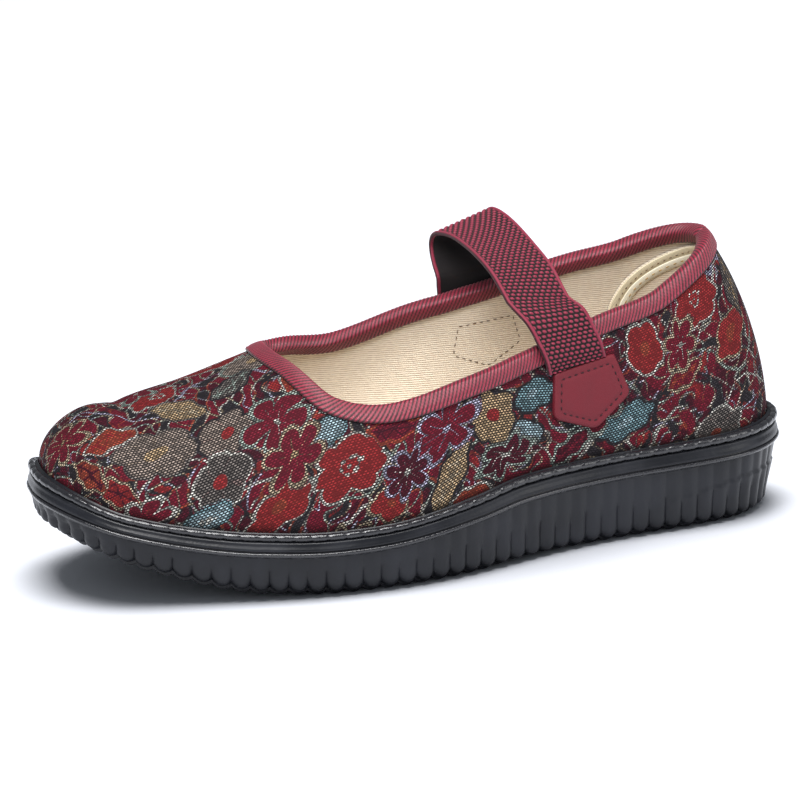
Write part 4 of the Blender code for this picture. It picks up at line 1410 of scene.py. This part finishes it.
def binding_piece(finish):
    turn, climb, at, total = collar_line(BINDING_STATIONS)
    points = last_point(turn, climb)
    run = run_of(points)
    for _ in range(6):
        run = (np.roll(run, 1, 0) + run + np.roll(run, -1, 0)) / 3
    normal = normals_at(turn, climb)
    into = unit(np.cross(normal, run))
    if into[len(into) // 2, 2] > 0:
        into = -into
    outer = GAP + BINDING
    lined = -WALL - 2 * GAP
    inner = lined - BINDING
    middle = (outer + inner) / 2
    half = (outer - inner) / 2
    section = [(0.0001, BINDING_OUTSIDE)]
    section += [(outer * high, depth) for high, depth in BINDING_FACE]
    for angle in range(0, 181, 20):
        turned = math.radians(angle)
        section.append((middle + half * math.cos(turned), -outer * math.sin(turned)))
    section += [(inner * high, depth) for high, depth in BINDING_BACK]
    section.append((lined + 0.0002, BINDING_INSIDE))
    across = run_length(np.array(section))
    ribs = round(total / BINDING_RIB)
    rows = []
    marks = []
    coords = []
    for (lift, depth), width in zip(section, across):
        phase = at / total * ribs + width * BINDING_SLANT / BINDING_RIB
        wave = np.abs(np.sin(math.pi * phase)) ** 1.1
        edge = min(min(width, across[-1] - width) / BINDING_EDGE, 1.0)
        raised = wave * edge
        push = BINDING_PUSH * (raised - 0.6) if edge > 0.2 else np.zeros(len(at))
        if depth > 0:
            there, height = nearest(points + into * depth, turn, climb)
            normal_there = normals_at(there, height)
            side = np.sign(lift - middle)
            rows.append(last_point(there, height) + normal_there * (lift + side * push)[:, None])
        else:
            centre = points + normal * middle
            away = into * depth + normal * (lift - middle)
            grown = 1 + push / max(half, 1e-6)
            rows.append(centre + away * grown[:, None])
        # The rib mark drives the ribs' relief, and also the tape's painted highlight and painted shade
        marks.append(np.repeat(np.clip(raised, 0, 1)[:, None], 4, 1))
        coords.append(np.column_stack([np.append(at, total), np.full(len(at) + 1, width)]))
    colours = {"rib": np.array(marks)}
    return make_grid("binding", np.array(rows), finish, np.array(coords), colours, (False, True), flip=True)


# Strap and tabs

STRAP_ROWS = 460
STRAP_ACROSS = 92
BUMP_ACROSS = 0.00190     # knots of the elastic, across it
BUMP_ALONG = 0.00142      # and along it
STRAP_CORD = 0.0012       # smooth edge cord

STRAP_LIFT_AT = (0, 0.03, 0.08, 0.16, 0.23, 0.79, 0.86, 0.94, 1)
STRAP_LIFT = (0, 0.0007, 0.0017, 0.0017, 0, 0, 0.0017, 0.0017, 0.0003)   # over the binding
STRAP_SHIFT_AT = (0, 0.07, 0.14, 0.19, 0.25, 0.75, 0.81, 0.87, 1)
STRAP_SHIFT = (0.0026, 0.0030, 0.0030, 0.0016, 0, 0, 0.0020, 0.0034, 0.0028)   # towards the toe


def strap_surface(rows, across):
    line = open_spline(strap_rows(), rows)
    t = np.linspace(0, 1, rows)
    shift = np.interp(t, STRAP_SHIFT_AT, STRAP_SHIFT)
    front = unit(line[:, 0] - line[:, -1])
    line = line + (front * shift[:, None])[:, None]
    reach = 10
    kernel = np.exp(-np.linspace(-1.8, 1.8, 2 * reach + 1) ** 2)
    kernel /= kernel.sum()
    for _ in range(3):
        before = 2 * line[:1] - line[reach:0:-1]
        after = 2 * line[-1:] - line[-2:-reach - 2:-1]
        longer = np.concatenate([before, line, after])
        line = sum(weight * longer[k:k + rows] for k, weight in enumerate(kernel))
    t = np.linspace(0, STRAP_COLUMNS - 1, across)
    i = np.clip(np.floor(t).astype(int), 0, STRAP_COLUMNS - 2)
    f = (t - i)[None, :, None]
    middle = line[:, i] * (1 - f) + line[:, i + 1] * f
    run = np.gradient(middle, axis=0)
    wide = np.gradient(middle, axis=1)
    out = unit(np.cross(run, wide))
    length = run_length(middle[:, across // 2])
    side = np.linspace(-STRAP_WIDTH / 2, STRAP_WIDTH / 2, across)
    return middle, out, length, side


def strap_pieces(finish):
    """The elastic's face with its knots and edge cords, and its plain underside, painted dark all over as
    shade.
    """
    middle, out, length, side = strap_surface(STRAP_ROWS, STRAP_ACROSS)
    sense = 1.0 if out[STRAP_ROWS // 2, STRAP_ACROSS // 2, 2] > 0 else -1.0
    out = out * sense
    t = np.linspace(0, 1, STRAP_ROWS)
    middle = middle + out * np.interp(t, STRAP_LIFT_AT, STRAP_LIFT)[:, None, None]
    s, w = np.meshgrid(length, side, indexing="ij")
    slanted = s + 0.10 * w
    row = np.floor(slanted / BUMP_ALONG)
    a = (w / BUMP_ACROSS + 0.5 * (row % 2) + 0.5) % 1.0
    b = slanted / BUMP_ALONG % 1.0
    bump = np.sin(math.pi * a) ** 0.8 * np.sin(math.pi * b) ** 0.9
    cord = np.clip((np.abs(w) - (STRAP_WIDTH / 2 - STRAP_CORD)) / STRAP_CORD, 0, 1)
    is_cord = cord > 0
    round_cord = np.sqrt(np.maximum(1 - (2 * cord - 1) ** 2, 0))
    # The raised mark also sets the colour: painted shade between the knots, painted highlight on their tops
    # and on the round of the edge cords
    raised = np.where(is_cord, 0.40 + 0.35 * round_cord, bump)
    cord_height = STRAP * 0.28 + STRAP * 0.27 * round_cord
    height = np.where(is_cord, cord_height, STRAP * 0.06 + STRAP * 0.54 * bump)
    over = middle + out * height[..., None]
    under = middle - out * (STRAP * np.where(is_cord, 0.28 + 0.2 * round_cord, 0.42))[..., None]
    hem = 5
    first = [np.arange(hem, -1, -1), np.arange(STRAP_ACROSS - 1, STRAP_ACROSS - hem - 2, -1)]
    face = np.concatenate([under[:, first[0]], over, under[:, first[1]]], 1)
    marks = np.concatenate([raised[:, first[0]], raised, raised[:, first[1]]], 1)
    colour = np.repeat(np.clip(marks, 0, 1)[..., None], 4, -1)
    wide = np.concatenate([w[:, first[0]], w, w[:, first[1]]], 1)
    uv = np.stack([np.repeat(s[:, :1], wide.shape[1], 1), wide], -1)
    below = under[:, hem:-hem]
    # Painted shade: the underside takes the elastic's darkest colour all over
    dark = np.zeros((*below.shape[:2], 4))
    uv_below = np.stack([s[:, hem:-hem], w[:, hem:-hem]], -1)
    return (
        make_grid("elastic_strap", face, finish, uv, {"rib": colour}, flip=sense < 0),
        make_grid("elastic_underside", below, finish, uv_below, {"rib": dark}, flip=sense > 0),
    )


TAB_FILLET = 0.0016       # round of the tab's corners
TAB_MARGIN = 0.0024       # seam inside the tab's edge
TAB_STITCH = 0.0014       # length of one of its stitches
TAB_STITCH_PITCH = 0.0024
TAB_FLAT = 0.0042         # from its edge in to its level middle
TAB_HIGH = GAP + TAB      # its top above the cloth
TAB_POINTS = 180          # points round each ring of the tab


def tab_outline(inset, count, fillet):
    """Closed outline of the tab as (back, down), moved inwards, with rounded corners."""
    half_top = TAB_TOP / 2
    half = TAB_SHOULDER / 2
    tip = TAB_SIDE + TAB_POINT
    right = [(half_top, GAP), (half, TAB_SIDE)]
    corners = np.array([(-half_top, GAP), *right, (0.0, tip), (-half, TAB_SIDE)])
    n = len(corners)
    lines = []
    for k in range(n):
        a = corners[k]
        b = corners[(k + 1) % n]
        way = unit(b - a)
        normal = np.array([-way[1], way[0]])
        if normal @ (corners.mean(0) - a) < 0:
            normal = -normal
        lines.append((a + normal * inset, way))
    moved = []
    for k in range(n):
        (a, u), (b, v) = lines[k - 1], lines[k]
        t = np.linalg.solve(np.array([u, -v]).T, b - a)
        moved.append(a + u * t[0])
    path = []
    for k in range(n):
        p = moved[k]
        before = unit(moved[k - 1] - p)
        after = unit(moved[(k + 1) % n] - p)
        reach = fillet * (0.45 if k < 2 else 1.5)
        a = p + before * reach
        b = p + after * reach
        for t in np.linspace(0, 1, 9):
            path.append((1 - t) ** 2 * a + 2 * t * (1 - t) * p + t * t * b)
    return even_steps(np.array(path), count)


def on_tab(outer, flat, lift):
    """Points over the upper for places (back, down) of the tab's own plane."""
    turn, climb = strap_end(outer)
    lean = math.radians(TAB_LEAN if outer else TAB_LEAN_INNER)
    back = flat[:, 0] * math.cos(lean) + flat[:, 1] * math.sin(lean)
    down = flat[:, 1] * math.cos(lean) - flat[:, 0] * math.sin(lean)
    return lay(turn, climb, back, down, np.broadcast_to(lift, (len(flat),)).astype(float))


TAB_RINGS = (
    # inside its edge, above the cloth
    (0, -0.0006),
    (0, GAP),
    (0, TAB_HIGH * 0.62),
    (0.00012, TAB_HIGH * 0.82),
    (0.0004, TAB_HIGH * 0.95),
    (0.0009, TAB_HIGH),
    (TAB_MARGIN - 0.0005, TAB_HIGH),
    (TAB_MARGIN, TAB_HIGH * 0.86),
    (TAB_MARGIN + 0.0005, TAB_HIGH),
    (TAB_FLAT, TAB_HIGH),
)
TAB_SHARES = (0.8, 0.6, 0.4, 0.2, 0.0005)   # rings from its level middle in to its centre


def tab_piece(name, outer, finish):
    rings = []
    for inset, lift in TAB_RINGS:
        fillet = max(TAB_FILLET - inset * 0.3, 0.0004)
        rings.append(on_tab(outer, tab_outline(inset, TAB_POINTS, fillet), lift))
    flat_part = tab_outline(TAB_FLAT, TAB_POINTS, 0.0004)
    heart = flat_part.mean(0)
    for share in TAB_SHARES:
        flat = heart + (flat_part - heart) * share
        rings.append(on_tab(outer, flat, TAB_HIGH))
    return make_grid(name, np.array(rings), finish, wrap=(False, True))


def tab_seam(name, outer, finish, inside=False):
    """Stitches round the tab, or the same ones where they come out on the lining."""
    flat = tab_outline(TAB_MARGIN, 720, 0.0012)
    flat = np.vstack([flat, flat[:1]])
    lift = -WALL - 0.00012 if inside else TAB_HIGH * 0.90
    points = on_tab(outer, flat, lift)
    where, way, _ = spaced(points, TAB_STITCH_PITCH)
    turn, climb = strap_end(outer)
    spots, climbs = nearest(where, np.full(len(where), turn), np.full(len(where), climb))
    normal = normals_at(spots, climbs)
    if inside:
        normal = -normal
    keep = np.ones(len(where), bool)
    if inside:
        edge = collar_climb(spots)
        rim_point = last_point(spots, edge)
        keep = rim_point[:, 2] - where[:, 2] > BINDING_INSIDE + 0.0006
    thickness = 0.00030 if inside else 0.00044
    return stitches(name, where[keep], way[keep], normal[keep], TAB_STITCH, thickness, finish, 0.4)


# Heel grip and its tape


def grip_rows(count, widths):
    turn, climb = grip_arch(count)
    points = last_point(turn, climb)
    run = unit(np.gradient(points, axis=0))
    down = np.cross(normals_at(turn, climb), run)
    rows = [nearest(points + down * width, turn, climb) for width in widths]
    length = run_length(points)
    return rows, length


def grip_piece(finish):
    count = 160
    rows, _ = grip_rows(count, (0.0006, 0.0012, 0.0035, GRIP_TAPE_WIDTH))
    turn, climb = rows[-1]
    for share in np.linspace(0, 1, 18)[1:]:
        rows.append((turn, climb + (GRIP_FOOT - climb) * share))
    grid = []
    for k, (turn, climb) in enumerate(rows):
        lift = WALL + GAP + (0.0 if k == 0 else GRIP)
        grid.append(last_point(turn, climb) - normals_at(turn, climb) * lift)
    return make_grid("grip_pad", np.array(grid), finish)


def tape_piece(name, low, high, thickness, finish):
    count = 420
    edge = 0.0003
    widths = (low, low + 0.00004, low + edge, (low + high) / 2, high - edge, high - 0.00004, high)
    lifts = (0.3, 0.8, 1.0, 1.05, 1.0, 0.8, 0.2)
    rows, length = grip_rows(count, widths)
    base = WALL + GAP + GRIP
    grid = []
    coords = []
    for (turn, climb), share, width in zip(rows, lifts, widths):
        grid.append(last_point(turn, climb) - normals_at(turn, climb) * (base + thickness * share))
        coords.append(np.column_stack([length, np.full(count, width)]))
    return make_grid(name, np.array(grid), finish, np.array(coords))


def tape_seam(name, width, lift, pitch, length, thickness, finish):
    rows, _ = grip_rows(420, (width,))
    turn, climb = rows[0]
    points = last_point(turn, climb) - normals_at(turn, climb) * (WALL + GAP + GRIP + lift)
    where, way, share = spaced(points, pitch)
    at = np.linspace(0, 1, len(turn))
    spot = np.interp(share, at, turn)
    high = np.interp(share, at, climb)
    return stitches(name, where, way, -normals_at(spot, high), length, thickness, finish, 0.4)


# Footbed

FOOTBED_EDGE = (
    # inside the footbed's edge, below its top
    (0, 0.0026),
    (0, 0.0008),
    (0.0004, 0.0003),
    (0.0012, 0),
    (0.004, 0),
)
FOOTBED_SHARES = (0.8, 0.55, 0.3, 0.02)   # rings from its edge in to its middle line


def insole_piece(finish):
    """Footbed with softly rolled edges, in the cup inside the upper."""
    turns = upper_turns(60, 24, 41)
    rings = []
    for inset, drop in FOOTBED_EDGE:
        plan = read_loop(FEATHER, turns) - read_loop(LIP_NORMAL, turns) * (WALL + GAP + inset)
        height = cup_floor(share_of(plan[:, 0])) + GAP + INSOLE - drop
        rings.append(np.column_stack([plan, height]))
    outer = rings[-1]
    for share in FOOTBED_SHARES:
        spine_x = np.clip(outer[:, 0], -0.100, 0.098)
        spine = np.column_stack([spine_x, np.interp(spine_x, (-0.1, 0.1), (-0.002, -0.004))])
        plan = spine + (outer[:, :2] - spine) * share
        rings.append(np.column_stack([plan, cup_floor(share_of(plan[:, 0])) + GAP + INSOLE]))
    return make_grid("footbed", np.array(rings), finish, wrap=(False, True))


# Everything together


def build():
    black = rubber()
    shiny = glossy_rubber()
    cloth = jacquard()
    # Lining and footbed cotton: the dark colour is painted shade in the rib grooves, the light one is the
    # cotton's own colour
    cotton = lining_cloth("cotton lining", (0.500, 0.360, 0.240, 1), (0.960, 0.860, 0.710, 1))
    bed = lining_cloth("footbed cotton", (0.500, 0.360, 0.240, 1), (0.960, 0.860, 0.710, 1), True)
    # The tape's light colour is partly its own colour and partly painted highlight; the dark one is painted
    # shade between the ribs
    tape = ribbed_tape("burgundy tape", (0.026, 0.002, 0.005, 1), (0.310, 0.022, 0.050, 1))
    # The elastic's dark colour is painted shade between the knots and on the underside; its light one is
    # partly painted highlight
    elastic = woven_elastic("burgundy elastic", (0.003, 0.0006, 0.0012, 1), (0.270, 0.015, 0.046, 1))
    hide = leather("burgundy leather", (0.128, 0.0085, 0.0165))
    dark_thread = plain_thread("dark thread", (0.028, 0.006, 0.010))
    brown_thread = plain_thread("brown thread", (0.130, 0.075, 0.045))
    ochre_thread = plain_thread("ochre thread", (0.420, 0.270, 0.100))
    # The cream and white tapes carry painted shade in the low lines of their weave
    flat_tape = webbing("cream tape", (0.780, 0.690, 0.490))
    white_tape = webbing("white tape", (0.860, 0.800, 0.640))

    made = {
        "black rubber": [sole_piece(black, shiny)],
        "jacquard cloth": [upper_piece(cloth)],
        "cotton lining": [lining_piece(cotton), insole_piece(bed), grip_piece(cotton)],
        "burgundy tape": [binding_piece(tape)],
        "burgundy elastic": list(strap_pieces(elastic)),
        "burgundy leather": [
            tab_piece("tab_outer", True, hide),
            tab_piece("tab_inner", False, hide),
            tab_seam("tab_outer_seam", True, dark_thread),
            tab_seam("tab_inner_seam", False, dark_thread),
            tab_seam("tab_outer_seam_inside", True, brown_thread, True),
            tab_seam("tab_inner_seam_inside", False, brown_thread, True),
        ],
        "cream tape": [
            tape_piece("grip_tape_flat", 0.0, 0.0032, 0.0006, flat_tape),
            tape_piece("grip_tape_woven", 0.0030, GRIP_TAPE_WIDTH, 0.0009, white_tape),
            tape_seam("grip_seam", 0.0019, 0.0006, 0.0022, 0.0011, 0.00032, brown_thread),
            tape_seam("grip_seam_woven", 0.0046, 0.0009, 0.0026, 0.0014, 0.00040, ochre_thread),
        ],
    }
    for name, pieces in made.items():
        for piece in pieces:
            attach(piece, "root")
    stands_for = {
        "sole": ["outsole"],
        "upper_cloth": ["upper"],
        "footbed": ["insole"],
        "binding": ["collar_binding"],
        "elastic_strap": ["strap"],
        "tab_outer": ["strap_tab_outer"],
        "tab_inner": ["strap_tab_inner"],
        "grip_pad": ["heel_grip"],
        "grip_tape_flat": ["grip_tape"],
    }
    for name, nodes in stands_for.items():
        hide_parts(*nodes)
    strap_length = float(strap_surface(STRAP_ROWS, STRAP_ACROSS)[2][-1])
    return [piece for pieces in made.values() for piece in pieces]


# Camera, lights and floor

VIEW_TURN = 18.104        # degrees of the view from the outer side to the toe
VIEW_RISE = 15.141
VIEW_ROLL = -1.406
VIEW_DISTANCE = 0.8805
VIEW_SCALE = 3.193        # pixels for a millimetre, in a picture 800 pixels wide
VIEW_SHIFT = (0.004249, -0.003015)
VIEW_MIDDLE = (0.0015, -0.0021, 0.0418)


def camera():
    turn = math.radians(VIEW_TURN)
    rise = math.radians(VIEW_RISE)
    roll = math.radians(VIEW_ROLL)
    back = Vector((math.sin(turn) * math.cos(rise), math.cos(turn) * math.cos(rise), math.sin(rise)))
    level = Vector((-math.cos(turn), math.sin(turn), 0))
    over = level.cross(-back)
    right = level * math.cos(roll) + over * math.sin(roll)
    up = over * math.cos(roll) - level * math.sin(roll)
    eye = Vector(VIEW_MIDDLE) + back * VIEW_DISTANCE - right * VIEW_SHIFT[0] - up * VIEW_SHIFT[1]
    data = bpy.data.cameras.new("camera")
    data.sensor_width = 36
    data.lens = VIEW_SCALE * VIEW_DISTANCE * 1000 * 36 / 800
    data.clip_start = 0.05
    data.clip_end = 20
    made = place("camera", data)
    made.matrix_world = Matrix((
        (right.x, up.x, back.x, eye.x),
        (right.y, up.y, back.y, eye.y),
        (right.z, up.z, back.z, eye.z),
        (0, 0, 0, 1),
    ))
    bpy.context.scene.camera = made


def area_light(name, spot, target, size, power, only):
    """Soft light. only is a collection of the objects that it lights."""
    data = bpy.data.lights.new(name, "AREA")
    data.shape = "RECTANGLE"
    data.size, data.size_y = size
    data.energy = power
    made = place(name, data)
    made.location = spot
    made.rotation_euler = (Vector(target) - Vector(spot)).to_track_quat("-Z", "Y").to_euler()
    made.light_linking.receiver_collection = only


def studio(pieces):
    mesh = bpy.data.meshes.new("floor")
    half = 6.0
    corners = [(-half, -half, 0), (half, -half, 0), (half, half, 0), (-half, half, 0)]
    mesh.from_pydata(corners, [], [(0, 1, 2, 3)])
    m = Maker("floor")
    m.finish(Base_Color=(0.86, 0.88, 0.94, 1), Roughness=0.8, Specular_IOR_Level=0.1)
    mesh.materials.append(m.made)
    floor = place("floor", mesh)
    ground = bpy.data.collections.new("ground")
    ground.objects.link(floor)
    shoe = bpy.data.collections.new("shoe")
    for piece in pieces:
        shoe.objects.link(piece)
    world = bpy.data.worlds.new("studio")
    bpy.context.scene.world = world
    world.use_nodes = True
    world.node_tree.nodes["Background"].inputs["Color"].default_value = (0.90, 0.95, 1.0, 1)
    world.node_tree.nodes["Background"].inputs["Strength"].default_value = 0.21
    area_light("key", (0.35, 0.75, 0.80), (0, 0, 0.03), (0.45, 0.45), 9, shoe)
    area_light("fill", (-0.9, 0.6, 0.5), (0, 0, 0.04), (0.4, 0.8), 3, shoe)
    area_light("top", (0.10, 0.38, 1.05), (0, 0, 0.03), (0.8, 0.25), 12, shoe)
    area_light("floor light", (0.0, -0.3, 3.0), (0, -0.3, 0), (1.9, 1.9), 128, ground)
    bpy.context.scene.view_settings.view_transform = "Standard"
    bpy.context.scene.view_settings.look = "None"


for old in [o for o in bpy.data.objects if o.type in ("LIGHT", "CAMERA")]:
    bpy.data.objects.remove(old, do_unlink=True)
shoe_pieces = build()
camera()
studio(shoe_pieces)
